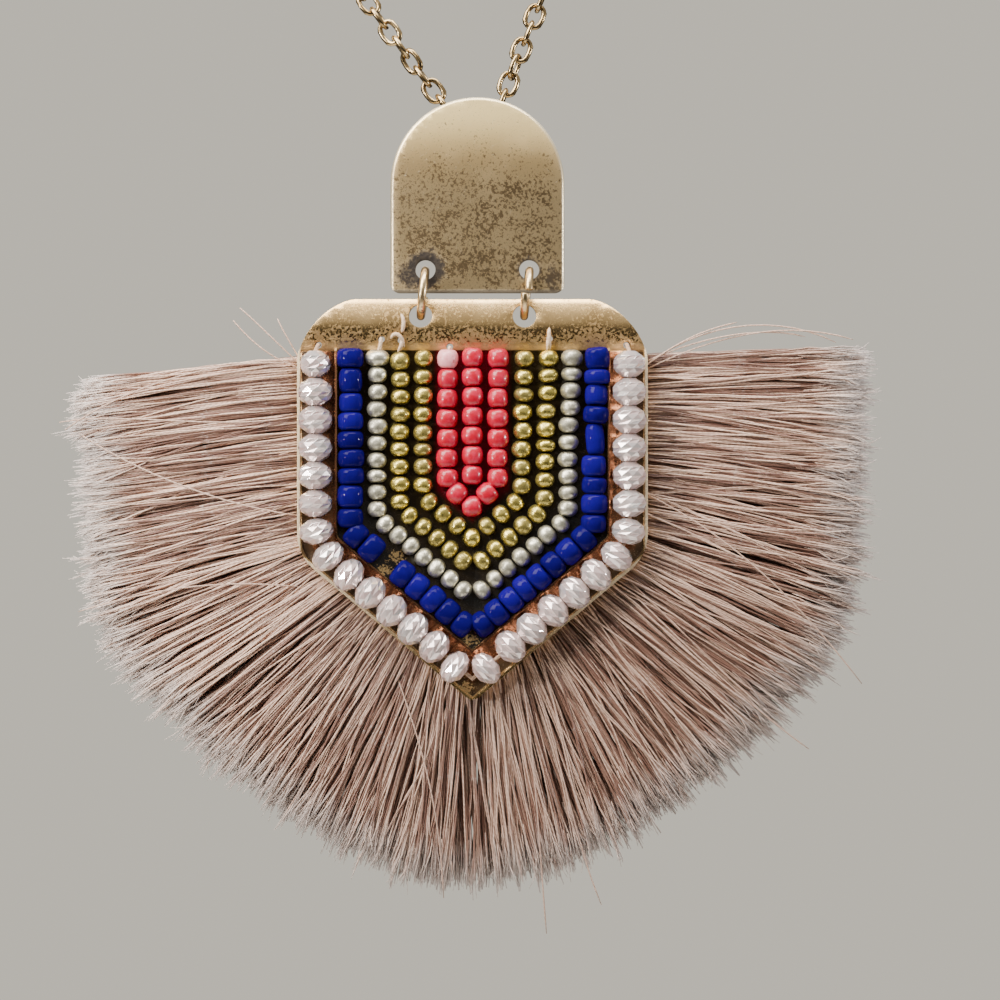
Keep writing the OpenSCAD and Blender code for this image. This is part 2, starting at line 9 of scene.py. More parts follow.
import json
import logging
import math
from dataclasses import dataclass, field
from enum import Enum
from typing import Callable, Iterable, Sequence, Union

import bmesh
import bpy
import numpy as np
from mathutils import Matrix, Vector

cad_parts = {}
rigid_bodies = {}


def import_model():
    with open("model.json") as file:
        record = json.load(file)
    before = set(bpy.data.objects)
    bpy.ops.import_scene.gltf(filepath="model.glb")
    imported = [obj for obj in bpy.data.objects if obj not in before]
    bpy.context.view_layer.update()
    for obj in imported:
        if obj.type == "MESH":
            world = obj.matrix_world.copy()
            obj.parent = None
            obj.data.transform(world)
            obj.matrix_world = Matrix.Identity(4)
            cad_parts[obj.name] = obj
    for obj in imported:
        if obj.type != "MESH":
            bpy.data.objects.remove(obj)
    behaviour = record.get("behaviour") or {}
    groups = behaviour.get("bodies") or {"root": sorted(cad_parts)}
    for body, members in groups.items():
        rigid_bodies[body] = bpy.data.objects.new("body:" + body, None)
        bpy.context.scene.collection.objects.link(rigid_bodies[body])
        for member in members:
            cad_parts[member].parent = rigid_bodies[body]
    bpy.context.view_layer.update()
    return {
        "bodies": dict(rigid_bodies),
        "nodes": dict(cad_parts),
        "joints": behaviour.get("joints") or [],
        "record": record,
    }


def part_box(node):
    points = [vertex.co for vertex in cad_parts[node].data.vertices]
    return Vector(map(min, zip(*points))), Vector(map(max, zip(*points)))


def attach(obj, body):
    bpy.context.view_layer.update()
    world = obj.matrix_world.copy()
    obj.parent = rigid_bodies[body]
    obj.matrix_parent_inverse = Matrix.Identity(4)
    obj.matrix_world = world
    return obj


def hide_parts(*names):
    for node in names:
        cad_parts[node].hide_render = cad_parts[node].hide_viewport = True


LOG = logging.getLogger("tassel_necklace")
MM = 0.001
# Edges of the cast metal that are flatter than this many degrees are shaded smooth
METAL_SMOOTH = 38.0
# A piece turned at random is turned by up to this many radians
ANY_TURN = 6.28
BMesh = bmesh.types.BMesh
Material = bpy.types.Material
Mesh = bpy.types.Mesh
Object = bpy.types.Object
Rng = np.random.Generator
Number = Union[int, float]
Numbers = Union[np.ndarray, float]
Pair = tuple[float, float]
Triple = tuple[float, float, float]
Colour = Triple
SIDES = ((-1, "left"), (1, "right"))


class Body(Enum):
    """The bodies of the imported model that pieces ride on."""

    ROOT = "root"
    RINGS = "rings"
    DROP = "drop"


# Shader graph


class Wire:
    """A value, colour or vector on its way through a material's nodes."""

    def __init__(self, graph: "Graph", socket: bpy.types.NodeSocket) -> None:
        """Wraps a socket.

        Args:
            graph: The graph that the socket belongs to.
            socket: The output socket to carry on from.
        """
        self.graph = graph
        self.socket = socket

    def _math(self, operation: str, first: "Feed", second: "Feed" = 0.0) -> "Wire":
        """Adds one Math node.

        Args:
            operation: The Math node's operation.
            first: Its first value.
            second: Its second value.

        Returns:
            The node's result.
        """
        return self.graph.node("ShaderNodeMath", {"operation": operation}, {0: first, 1: second})

    def __add__(self, other: "Feed") -> "Wire":
        """The sum of this and another value."""
        return self._math("ADD", self, other)

    __radd__ = __add__

    def __sub__(self, other: "Feed") -> "Wire":
        """This less another value."""
        return self._math("SUBTRACT", self, other)

    def __rsub__(self, other: "Feed") -> "Wire":
        """Another value less this."""
        return self._math("SUBTRACT", other, self)

    def __mul__(self, other: "Feed") -> "Wire":
        """The product of this and another value."""
        return self._math("MULTIPLY", self, other)

    def __truediv__(self, other: "Feed") -> "Wire":
        """This divided by another value."""
        return self._math("DIVIDE", self, other)

    def __pow__(self, other: "Feed") -> "Wire":
        """This raised to another value."""
        return self._math("POWER", self, other)

    def __abs__(self) -> "Wire":
        """The size of this without its sign."""
        return self._math("ABSOLUTE", self)

    def least(self, other: "Feed") -> "Wire":
        """The smaller of this and another value."""
        return self._math("MINIMUM", self, other)

    def most(self, other: "Feed") -> "Wire":
        """The larger of this and another value."""
        return self._math("MAXIMUM", self, other)

    def sine(self) -> "Wire":
        """The sine of this angle in radians."""
        return self._math("SINE", self)

    def root(self) -> "Wire":
        """The square root of this value."""
        return self._math("SQRT", self)

    def rise(self, low: Number, high: Number) -> "Wire":
        """A smooth step from 0 to 1.

        Args:
            low: Where the step starts.
            high: Where it ends. It may be the smaller of the two.

        Returns:
            A value from 0 to 1.
        """
        start, end = (1.0, 0.0) if high < low else (0.0, 1.0)
        inputs = {0: self, 1: min(low, high), 2: max(low, high), 3: start, 4: end}
        return self.graph.node("ShaderNodeMapRange", {"interpolation_type": "SMOOTHSTEP"}, inputs)


Feed = Union[Wire, Number, Colour, tuple, Vector]


class Graph:
    """Builds the nodes of one material."""

    def __init__(self, name: str) -> None:
        """Makes an empty material with a Principled shader.

        Args:
            name: The material's name.
        """
        self.material = bpy.data.materials.new(name)
        self.material.use_nodes = True
        self.tree = self.material.node_tree
        self.tree.nodes.clear()
        self.shader = self.tree.nodes.new("ShaderNodeBsdfPrincipled")
        self.output = self.tree.nodes.new("ShaderNodeOutputMaterial")
        self.tree.links.new(self.shader.outputs[0], self.output.inputs["Surface"])

    def node(
        self, kind: str, settings: dict | None = None, inputs: dict | None = None, out: int | str = 0
    ) -> Wire:
        """Adds one node.

        Args:
            kind: The node's type.
            settings: Its own settings, set first. "stops" gives a colour ramp's stops.
            inputs: Values or wires by socket name or number.
            out: The output to carry on from.

        Returns:
            The chosen output.
        """
        made = self.tree.nodes.new(kind)
        for key, value in (settings or {}).items():
            if key == "stops":
                self.set_stops(made.color_ramp, value)
            else:
                setattr(made, key, value)
        for key, value in (inputs or {}).items():
            self._feed(made.inputs[key], value)
        return Wire(self, made.outputs[out])

    def _feed(self, socket: bpy.types.NodeSocket, value: Feed) -> None:
        """Links a wire to a socket, or sets the socket's own value.

        Args:
            socket: The input socket.
            value: What it takes.
        """
        if isinstance(value, Wire):
            self.tree.links.new(value.socket, socket)
        elif socket.type == "RGBA":
            socket.default_value = (*tuple(value)[:3], 1.0)
        else:
            socket.default_value = value

    @staticmethod
    def set_stops(ramp: bpy.types.ColorRamp, stops: Sequence[tuple[float, Colour]]) -> None:
        """Sets a colour ramp's stops.

        Args:
            ramp: The ramp, with its two first stops.
            stops: Places from 0 to 1 and colours.
        """
        while len(ramp.elements) < len(stops):
            ramp.elements.new(1.0)
        for element, (place, colour) in zip(ramp.elements, stops):
            element.position = place
            element.color = (*colour, 1.0)

    def mix(self, factor: Feed, first: Feed, second: Feed) -> Wire:
        """A mix of two colours.

        Args:
            factor: The share of the second colour.
            first: The first colour.
            second: The second colour.

        Returns:
            The mixed colour.
        """
        return self.node("ShaderNodeMix", {"data_type": "RGBA"}, {0: factor, 6: first, 7: second}, 2)

    def ramp(self, factor: Feed, stops: Sequence[tuple[float, Colour]]) -> Wire:
        """A colour from a ramp at a value."""
        return self.node("ShaderNodeValToRGB", {"stops": stops}, {0: factor})

    def place(self) -> Wire:
        """Object coordinates in millimetres."""
        metres = self.node("ShaderNodeTexCoord", out="Object")
        return self.scaled(metres, (1 / MM, 1 / MM, 1 / MM))

    def scaled(self, vector: Feed, by: Triple) -> Wire:
        """A vector scaled along each axis."""
        return self.node("ShaderNodeVectorMath", {"operation": "MULTIPLY"}, {0: vector, 1: by})

    def turned(self, vector: Feed, angles: Triple, scale: Triple) -> Wire:
        """A vector turned by angles in degrees and then scaled.

        Args:
            vector: The coordinates.
            angles: Turns about X, Y and Z.
            scale: Scale along each turned axis.

        Returns:
            The mapped coordinates.
        """
        inputs = {"Vector": vector, "Rotation": tuple(math.radians(a) for a in angles)}
        return self.scaled(self.node("ShaderNodeVectorRotate", {"rotation_type": "EULER_XYZ"}, inputs), scale)

    def split(self, vector: Feed) -> tuple[Wire, Wire, Wire]:
        """The three parts of a vector."""
        parts = self.tree.nodes.new("ShaderNodeSeparateXYZ")
        self._feed(parts.inputs[0], vector)
        return tuple(Wire(self, parts.outputs[k]) for k in range(3))

    def noise(
        self, vector: Feed, scale: float, detail: float = 2.0, rough: float = 0.5, warp: float = 0.0
    ) -> Wire:
        """Noise that varies by place.

        Args:
            vector: The coordinates.
            scale: Features to the millimetre.
            detail: Number of finer layers.
            rough: Strength of the finer layers.
            warp: How far the noise distorts itself.

        Returns:
            A value about 0.5.
        """
        inputs = {"Vector": vector, "Scale": scale, "Detail": detail, "Roughness": rough, "Distortion": warp}
        return self.node("ShaderNodeTexNoise", None, inputs)

    def cracks(self, vector: Feed) -> Wire:
        """Distance from the nearest edge between irregular cells."""
        inputs = {"Vector": vector, "Scale": 1.0}
        return self.node("ShaderNodeTexVoronoi", {"feature": "DISTANCE_TO_EDGE"}, inputs, "Distance")

    def attribute(self, name: str) -> Wire:
        """A mesh attribute's value."""
        return self.node("ShaderNodeAttribute", {"attribute_name": name}, None, "Fac")

    def bump(self, height: Feed, depth: float, strength: float = 1.0) -> Wire:
        """A normal from a height.

        Args:
            height: Height from 0 to 1.
            depth: Depth of the relief in millimetres.
            strength: Strength of the relief.

        Returns:
            The bumped normal.
        """
        inputs = {"Height": height, "Distance": depth * MM, "Strength": strength}
        return self.node("ShaderNodeBump", None, inputs)

    def finish(self, **sockets: Feed) -> Material:
        """Sets the Principled shader's sockets.

        Args:
            **sockets: Values or wires by socket name, with underscores for spaces.

        Returns:
            The material.
        """
        for name, value in sockets.items():
            self._feed(self.shader.inputs[name.replace("_", " ")], value)
        return self.material


class SkyGraph(Graph):
    """Builds the nodes of the world."""

    def __init__(self, world: bpy.types.World) -> None:
        """Empties a world's nodes.

        Args:
            world: The world.
        """
        world.use_nodes = True
        self.tree = world.node_tree
        self.tree.nodes.clear()

    def show(self, shader: Wire) -> None:
        """Makes a shader the world's surface."""
        output = self.tree.nodes.new("ShaderNodeOutputWorld")
        self.tree.links.new(shader.socket, output.inputs["Surface"])


# The shield's plan, shared by its metal, beads, stones and fringe


@dataclass(frozen=True)
class ShieldPlan:
    """The shield's outline and the paths that follow it, in its own plane.

    half, height: Half its width and its height.
    bar: Height of the raised bar at its top.
    slope: The lower edges' slope in degrees.
    side_r: Radius of the outline's bend at a side corner.
    floor_t: Thickness of the tray's floor.
    top, face: Where its top and the tray's front lie.
    """

    half: float = 18.2
    height: float = 41.9
    bar: float = 5.3
    slope: float = 40.0
    side_r: float = 5.0
    floor_t: float = 0.7
    top: float = -190.774
    face: float = -128.138

    @property
    def turn(self) -> float:
        """How far a path turns at a side corner, in radians."""
        return math.radians(90.0 - self.slope)

    @property
    def lean(self) -> float:
        """The lower edges' slope in radians."""
        return math.radians(self.slope)

    def bend_z(self, inset: Numbers) -> Numbers:
        """Height of the corner of a path at an inset."""
        return -self.height + inset / math.cos(self.lean) + (self.half - inset) * math.tan(self.lean)

    def side_length(self, inset: Numbers, r: Numbers) -> Numbers:
        """Length of a path's upright stretch."""
        return -self.bar - self.bend_z(inset) - r * math.tan(self.turn / 2)

    def path_length(self, inset: Numbers, r: Numbers) -> Numbers:
        """Length of one side's path from the bar to the tip."""
        slope_length = (self.half - inset) / math.cos(self.lean) - r * math.tan(self.turn / 2)
        return self.side_length(inset, r) + r * self.turn + slope_length

    def along(self, inset: Numbers, r: Numbers, s: Numbers) -> tuple[np.ndarray, np.ndarray, np.ndarray]:
        """Places on one side's path.

        Args:
            inset: Distance inside the shield's edge.
            r: Radius of the path's bend.
            s: Length along the path from the bar downwards.

        Returns:
            X, Z below the shield's top, and the heading in radians.
        """
        inset, r, s = np.broadcast_arrays(*(np.asarray(given, float) for given in (inset, r, s)))
        side = self.side_length(inset, r)
        bend = np.maximum(r * self.turn, 1e-9)
        heading = np.clip((s - side) / bend, 0, 1) * self.turn
        corner_z = self.bend_z(inset) + r * math.tan(self.turn / 2)
        past = np.maximum(s - side - bend, 0)
        before = np.minimum(s - side, 0)
        x = self.half - inset - r + r * np.cos(heading) - past * math.cos(self.lean)
        z = corner_z - r * np.sin(heading) - past * math.sin(self.lean) - before
        return x, z, heading

    def apex(self, inset: float) -> float:
        """Height of the path's tip."""
        return -self.height + inset / math.cos(self.lean)

    def inset_field(self, x: Wire, z: Wire) -> Wire:
        """Distance inside the shield's edge as a shader value.

        Args:
            x: X in millimetres.
            z: Z in millimetres.

        Returns:
            The distance to the nearer of the side and the lower edge.
        """
        across = abs(x)
        lower = (z - self.top + self.height) * math.cos(self.lean) - across * math.sin(self.lean)
        return (self.half - across).least(lower)


# Finishes


@dataclass(frozen=True)
class WornGold:
    """Cast metal plated in antique gold, with a dark patina in its grain and bare edges.

    bright, dull: The metal's own tones, which change slowly over it.
    rubbed: Bare edges and scratches.
    patina, black: Specks in the grain, and metal that is oxidised all over.
    olive, pale: The painted shade that makes the metal olive and browner, and the painted highlight that makes
    it paler and more matt.
    grain: Specks to the millimetre.
    contrast: How sharply the specks stand out.
    tarnish, matt: How much of its mirror the soiled and the clean metal has lost.
    """

    name: str
    bright: Colour = (0.90, 0.64, 0.31)
    dull: Colour = (0.60, 0.41, 0.18)
    rubbed: Colour = (0.95, 0.80, 0.54)
    patina: Colour = (0.060, 0.038, 0.018)
    black: Colour = (0.012, 0.007, 0.005)
    # Colour of the painted shade, low on the plaque
    olive: Colour = (0.45, 0.335, 0.18)
    # Colour of the painted highlight, near the plaque's top
    pale: Colour = (1.0, 0.76, 0.34)
    roughness: float = 0.30
    grain: float = 3.1
    contrast: float = 5.2
    tarnish: float = 0.4
    matt: float = 0.0

    def mottle(self, g: Graph, mm: Wire, wear: Feed) -> tuple[Wire, Wire]:
        """Specks of patina, thicker where the wear is greater.

        Args:
            g: The material's graph.
            mm: Coordinates in millimetres.
            wear: How much patina there is, about 0 to 1.

        Returns:
            The patina's mask and the grain itself.
        """
        grain = g.noise(mm, self.grain, 5.0, 0.72)
        cloud = g.noise(mm, 0.42, 3.0, 0.6)
        level = (grain - 0.5) * self.contrast + (cloud - 0.5) * 2.2 + wear
        return level.rise(0.20, 0.62), grain

    def scratches(self, g: Graph, mm: Wire) -> Wire:
        """Short fine scratches in three directions."""
        total: Wire | None = None
        for angle, seed in ((28.0, 0.0), (-52.0, 40.0), (74.0, 90.0)):
            shifted = g.node("ShaderNodeVectorMath", {"operation": "ADD"}, {0: mm, 1: (seed,) * 3})
            lines = g.noise(g.turned(shifted, (0.0, angle, 0.0), (1.1, 1.0, 15.0)), 1.0, 1.0, 0.4)
            mask = lines.rise(0.74, 0.80)
            total = mask if total is None else total.most(mask)
        return total

    def build(
        self,
        g: Graph,
        mm: Wire,
        wear: Feed,
        edge: Feed = 0.0,
        dark: Feed = 0.0,
        brown: Feed = 0.0,
        lit: Feed = 0.0,
    ) -> Material:
        """Puts the finish together.

        Args:
            g: The material's graph.
            mm: Coordinates in millimetres.
            wear: How much patina there is.
            edge: Where rubbed edges show bright metal.
            dark: Where the metal is oxidised all over.
            brown: Where painted shade makes the metal browner.
            lit: Where a painted highlight makes the metal paler and more matt.

        Returns:
            The material.
        """
        mottle, grain = self.mottle(g, mm, wear)
        lines = self.scratches(g, mm)
        glint = g.noise(mm, self.grain * 2.0, 2.0, 0.6, 0.2).rise(0.69, 0.78)
        broad = g.noise(mm, 0.16, 2.0)
        metal = g.mix(broad.rise(0.35, 0.65), self.bright, self.dull)
        # Painted shade makes the metal browner, and a painted highlight makes it paler
        metal = g.mix(brown, metal, self.olive)
        metal = g.mix(lit, metal, self.pale)
        metal = g.mix((lines * 0.5).most(glint * 0.2).most(edge), metal, self.rubbed)
        bare = (1.0 - lines * 0.7) * (1.0 - glint * 0.6)
        darkening = mottle * bare * (1.0 - edge * 0.85)
        colour = g.mix(darkening * 0.92, metal, self.patina)
        colour = g.mix(dark, colour, self.black)
        height = grain * 0.6 - mottle * 0.6 - lines * 0.3
        rough = darkening * 0.20 + self.roughness + (grain - 0.5) * 0.2 + dark * 0.3
        mirror = (1.0 - darkening * self.tarnish) * (1.0 - (1.0 - darkening) * self.matt)
        metallic = mirror * (1.0 - dark * 0.8) * (1.0 - lit * 0.42)
        relief = g.bump(height, 0.012, 0.4)
        return g.finish(Base_Color=colour, Metallic=metallic, Roughness=rough, Normal=relief)


@dataclass(frozen=True)
class PlaqueGold(WornGold):
    """The plaque's finish: a painted highlight that makes it paler towards its top, bright edges, mottled and
    browned by painted shade below, and dark round the left hole.

    middle: X of the plaque's middle line.
    top, half, bottom: Its arch's top, its half width, and its lower edge.
    hole_x, hole_z: The holes' distance from the middle line, and their height.
    """

    name: str = "plaque_gold"
    middle: float = 0.5
    top: float = -169.7
    half: float = 9.05
    bottom: float = -190.1
    hole_x: float = 5.4
    hole_z: float = -187.7
    grain: float = 3.3
    contrast: float = 6.4
    tarnish: float = 0.12
    matt: float = 0.19

    def material(self) -> Material:
        """Builds the material."""
        g = Graph(self.name)
        mm = g.place()
        raw_x, _, z = g.split(mm)
        x = raw_x - self.middle
        over = (z - (self.top - self.half)).most(0.0)
        radial = self.half - (x * x + over * over).root()
        inside = radial.least(z - self.bottom)
        edge = inside.rise(0.42, 0.05)
        margin = inside.rise(2.0, 0.3)
        down = (self.top - z) / (self.top - self.bottom)
        wear = down.rise(0.16, 0.50) * 0.82 + down.rise(0.6, 0.9) * 0.10 - margin * 0.30 - 0.54
        left_hole = ((x + self.hole_x) ** 2.0 + (z - self.hole_z) ** 2.0).root()
        right_hole = ((x - self.hole_x) ** 2.0 + (z - self.hole_z) ** 2.0).root()
        smear = g.noise(mm, 1.3, 4.0, 0.65)
        up = z - self.bottom
        stain = (left_hole * 0.62 + smear * 1.6).rise(2.35, 1.75)
        corner = (abs(x + 7.0) * 0.55 + abs(up - 1.7) * 0.55 + smear * 1.8).rise(2.35, 1.45) * 0.92
        ring = (right_hole + smear * 0.8).rise(1.95, 1.5) * 0.8
        lip = (up + smear * 0.3).rise(0.62, 0.30) * 0.9
        oxide = stain.most(corner).most(ring).most(lip) * (1.0 - radial.rise(0.42, 0.05) * 0.7)
        rust = (abs(x - 7.9) * 0.8 + abs(up - 1.5) * 0.5 + smear * 1.4).rise(2.1, 1.2)
        dark = (oxide * 0.96).most(rust * (0.9 - smear))
        # Painted shade on the lower plaque, and a painted highlight over its top third
        brown = down.rise(0.18, 0.55) * 0.85
        lit = down.rise(0.36, 0.06) * 0.9
        return self.build(g, mm, wear + rust * 0.3, edge, dark, brown, lit)


@dataclass(frozen=True)
class ShieldGold(WornGold):
    """The shield's finish: a bright bar with a painted shadow along its foot, a crackled lower curve, rosy
    metal under the stones, a dark tray.

    tray, crimson: The tray's paint, and the painted glow of red light bounced from the pink beads onto the
    tray between them.
    copper, shadow: The channel under the stones, and its outer part.
    cream, darkening: The painted highlight on the rim's face where it catches the light, and the dark colour
    of the specks and creases in the grain and of the painted shadow along the bar's foot.
    glints: X and height of the spots of bare brass in the tray.
    """

    name: str = "shield_gold"
    bright: Colour = (0.88, 0.59, 0.26)
    dull: Colour = (0.66, 0.43, 0.18)
    tray: Colour = (0.026, 0.016, 0.006)
    crimson: Colour = (0.16, 0.003, 0.012)
    copper: Colour = (0.44, 0.18, 0.095)
    shadow: Colour = (0.035, 0.015, 0.009)
    cream: Colour = (0.96, 0.78, 0.52)
    darkening: Colour = (0.17, 0.090, 0.042)
    glints: tuple[Pair, ...] = ((-0.1, -35.4), (-0.6, -40.5), (-8.0, -26.8), (-9.1, -28.1))
    plan: ShieldPlan = field(default_factory=ShieldPlan)

    def material(self) -> Material:
        """Builds the material."""
        g = Graph(self.name)
        mm = g.place()
        x, y, z = g.split(mm)
        plan = self.plan
        inset = plan.inset_field(x, z)
        below = plan.top - z
        on_bar = below.rise(plan.bar + 0.15, plan.bar - 0.05)
        front = y.rise(plan.face + 0.35, plan.face + 0.2)
        floor_level = y.rise(plan.face - 0.25, plan.face - 0.05)
        curve = below.rise(2.0, 4.4) * on_bar * front
        crackle = g.cracks(g.turned(mm, (0.0, 14.0, 0.0), (0.42, 1.0, 1.1)))
        wander = g.noise(mm, 1.3, 3.0)
        left = x.rise(-4.0, -9.0).most(x.rise(9.0, 15.0) * 0.6)
        crease = (crackle + (wander - 0.5) * 0.2).rise(0.05, 0.0) * curve * left * wander.rise(0.42, 0.54)
        fine = g.noise(mm, 3.4, 4.0, 0.68, 0.2)
        broad = g.noise(mm, 0.30, 3.0)
        speck = (fine + curve * 0.15 + (broad - 0.5) * 0.4).rise(0.57, 0.76) * front
        metal = g.mix(broad.rise(0.35, 0.65), self.bright, self.dull)
        # Painted shadow along the foot of the bar, just above the beads
        shade = below.rise(4.2, 5.3) * on_bar * 0.75
        rim = inset.rise(0.42, 0.22) * front
        in_tray = inset.rise(4.1, 4.2) * below.rise(plan.bar - 0.1, plan.bar + 0.1) * floor_level * front
        under_bar = below.rise(plan.bar, plan.bar + 0.2)
        in_channel = inset.rise(0.35, 0.5) * inset.rise(4.2, 4.1) * under_bar * front
        # Dark specks and creases in the grain, together with the painted shadow at the bar's foot
        darkening = speck.most(crease).most(shade) * (1.0 - rim * 0.8) * (1.0 - in_channel * 0.8)
        colour = g.mix(darkening * 0.68, metal, self.darkening)
        outer = (inset + (fine - 0.5) * 1.5).rise(2.2, 1.0)
        colour = g.mix(in_channel * 0.9, colour, g.mix(outer, self.copper, self.shadow))
        lit = rim * below.rise(39.5, 30.0)
        colour = g.mix(lit * 0.9, colour, self.cream)
        bare = self.glint(g, mm, x, below)
        in_tray = in_tray * (1.0 - bare)
        # Painted glow: the tray between the pink beads takes the colour of their bounced crimson light
        colour = g.mix(in_tray, colour, g.mix(inset.rise(14.0, 14.8), self.tray, self.crimson))
        colour = g.mix(bare * in_channel.most(floor_level * front), colour, self.bright)
        height = fine * 0.35 - crease * 1.0 - speck * 0.45
        rough = darkening * 0.25 + 0.26 + (fine - 0.5) * 0.15
        painted = (1.0 - in_tray) * (1.0 - in_channel * outer * 0.6)
        metallic = (1.0 - darkening * 0.5) * painted * (1.0 - lit * 0.6)
        relief = g.bump(height, 0.03, 0.6)
        return g.finish(Base_Color=colour, Metallic=metallic, Roughness=rough, Normal=relief)

    def glint(self, g: Graph, mm: Wire, x: Wire, below: Wire) -> Wire:
        """Where bare brass shows through the tray's dark paint."""
        ragged = g.noise(mm, 4.5, 2.0, 0.6)
        bare: Wire | None = None
        for spot_x, spot_z in self.glints:
            away = ((x - spot_x) ** 2.0 + (below + spot_z) ** 2.0).root()
            patch = (away * 0.30 - ragged).rise(-0.32, -0.42)
            bare = patch if bare is None else bare.most(patch)
        return bare


@dataclass(frozen=True)
class WireGold(WornGold):
    """Drawn wire in pale antique gold, rubbed bright and spotted with patina."""

    name: str = "ring_gold"
    wear: float = -0.1

    def material(self) -> Material:
        """Builds the material."""
        g = Graph(self.name)
        return self.build(g, g.place(), self.wear)


@dataclass(frozen=True)
class LinkGold:
    """The chain's wire: pale brass with dark blots, a painted shade that makes it darker and browner in its
    crevices, and a slightly different tone on each link.
    """

    name: str = "chain_gold"
    bright: Colour = (0.62, 0.45, 0.23)
    dull: Colour = (0.36, 0.25, 0.12)
    dirt_and_shade: Colour = (0.055, 0.034, 0.016)

    def material(self) -> Material:
        """Builds the material."""
        g = Graph(self.name)
        mm = g.place()
        tint = g.attribute("tint")
        blot = g.noise(mm, 1.6, 4.0, 0.6)
        # Painted shade on the inside of each link, where the next link passes through
        crevice = g.attribute("inner").rise(0.25, 0.95)
        colour = g.mix((tint * 0.6 + blot * 0.6).rise(0.35, 0.8), self.bright, self.dull)
        darkening = (blot * 0.6 + crevice * 0.5).rise(0.45, 0.85)
        colour = g.mix(darkening * 0.75, colour, self.dirt_and_shade)
        metallic, rough = 1.0 - darkening * 0.4, 0.24 + darkening * 0.3
        relief = g.bump(blot, 0.02, 0.5)
        return g.finish(Base_Color=colour, Metallic=metallic, Roughness=rough, Normal=relief)


@dataclass(frozen=True)
class OpalGlass:
    """Milky cut glass with a faint rainbow coat, and painted reflections that make each facet lighter or
    darker at random.
    """

    name: str = "white_glass"
    milky: Colour = (0.74, 0.58, 0.54)
    cloudy: Colour = (0.56, 0.41, 0.38)
    rosy: Colour = (0.66, 0.46, 0.43)
    # Painted reflections: the colours that a facet takes by its random value, from a dull grey facet to a
    # white one
    facets: tuple[tuple[float, Colour], ...] = (
        (0.0, (0.36, 0.28, 0.28)), (0.3, (0.56, 0.46, 0.45)), (0.55, (0.78, 0.70, 0.68)),
        (0.8, (0.88, 0.86, 0.84)), (1.0, (1.0, 1.0, 1.0)),
    )

    def material(self) -> Material:
        """Builds the material."""
        g = Graph(self.name)
        mm = g.place()
        facet = g.attribute("facet")
        tint = g.attribute("tint")
        milk = g.noise(mm, 0.8, 3.0, 0.6)
        body = g.mix(milk.rise(0.35, 0.7), self.milky, self.cloudy)
        colour = g.mix(0.65, body, g.ramp(facet, self.facets))
        colour = g.mix(tint * 0.35, colour, self.rosy)
        g.finish(Subsurface_Weight=0.2, Subsurface_Radius=(0.9, 0.6, 0.55), Subsurface_Scale=MM)
        g.finish(IOR=1.6, Coat_Roughness=0.02)
        g.finish(Metallic=0.22 + facet * 0.5, Coat_Weight=0.6 + facet * 0.4)
        return g.finish(Base_Color=colour, Roughness=0.06 + facet * 0.08)


class BeadKind(Enum):
    """The kinds of seed bead."""

    BLUE = "blue_bead"
    SILVER = "silver_bead"
    GOLD = "gold_bead"
    PINK = "pink_bead"


@dataclass(frozen=True)
class BeadFinish:
    """A seed bead's finish: opaque glass under a gloss, or glass under rubbed metal.

    deep, light: The kind's two tones.
    third: A pink bead's third tone, or what shows where a metal coat is worn.
    """

    kind: BeadKind
    deep: Colour
    light: Colour
    third: Colour = (0.0, 0.0, 0.0)
    cream: Colour = (0.95, 0.42, 0.45)
    pits: Colour = (0.04, 0.03, 0.018)

    def material(self) -> Material:
        """Builds the material."""
        makers = {BeadKind.BLUE: self.blue, BeadKind.PINK: self.pink}
        return makers.get(self.kind, self.coated)(Graph(self.kind.value))

    def blue(self, g: Graph) -> Material:
        """Deep blue opaque glass."""
        tint = g.attribute("tint")
        swirl = g.noise(g.place(), 1.2, 2.0)
        colour = g.mix((tint * 0.7 + swirl * 0.5).rise(0.3, 0.9), self.deep, self.light)
        g.finish(Specular_IOR_Level=0.0, Coat_IOR=1.4, Coat_Roughness=0.03)
        return g.finish(Base_Color=colour, Roughness=0.3 + tint * 0.06, Coat_Weight=0.17 + tint * 0.05)

    def pink(self, g: Graph) -> Material:
        """Pink glass, with a cream bead here and there."""
        tint = g.attribute("tint")
        cloud = g.noise(g.place(), 1.5, 4.0, 0.7)
        colour = g.mix(cloud.rise(0.42, 0.66), self.deep, self.light)
        colour = g.mix(tint.rise(0.5, 1.0) * 0.5, colour, self.third)
        colour = g.mix(g.attribute("pale") * cloud.rise(0.30, 0.46) * 0.9, colour, self.cream)
        g.finish(Subsurface_Weight=0.12, Subsurface_Radius=(1.0, 0.3, 0.3), Subsurface_Scale=0.4 * MM)
        g.finish(Specular_IOR_Level=0.4, Coat_Roughness=0.08, Coat_Weight=0.3 + tint * 0.2)
        return g.finish(Base_Color=colour, Roughness=0.24 + cloud * 0.14, Normal=g.bump(cloud, 0.06, 0.6))

    def coated(self, g: Graph) -> Material:
        """Glass under a thin coat of gold or silver that has begun to wear."""
        worn, gloss = (0.75, 0.27) if self.kind is BeadKind.GOLD else (0.7, 0.36)
        mm = g.place()
        tint = g.attribute("tint")
        rubbed = g.noise(mm, 2.6, 4.0, 0.65)
        spots = g.noise(mm, 5.5, 2.0)
        dent = g.noise(mm, 1.1, 1.0)
        wear = (rubbed + tint * 0.12).rise(0.50, 0.72)
        colour = g.mix(tint, self.deep, self.light)
        colour = g.mix(wear * worn, colour, self.third)
        colour = g.mix(spots.rise(0.66, 0.74) * 0.7, colour, self.pits)
        g.finish(Normal=g.bump(rubbed * 0.25 + dent * 1.6, 0.12, 0.7))
        return g.finish(Base_Color=colour, Metallic=0.92 - wear * 0.25, Roughness=wear * 0.2 + gloss)


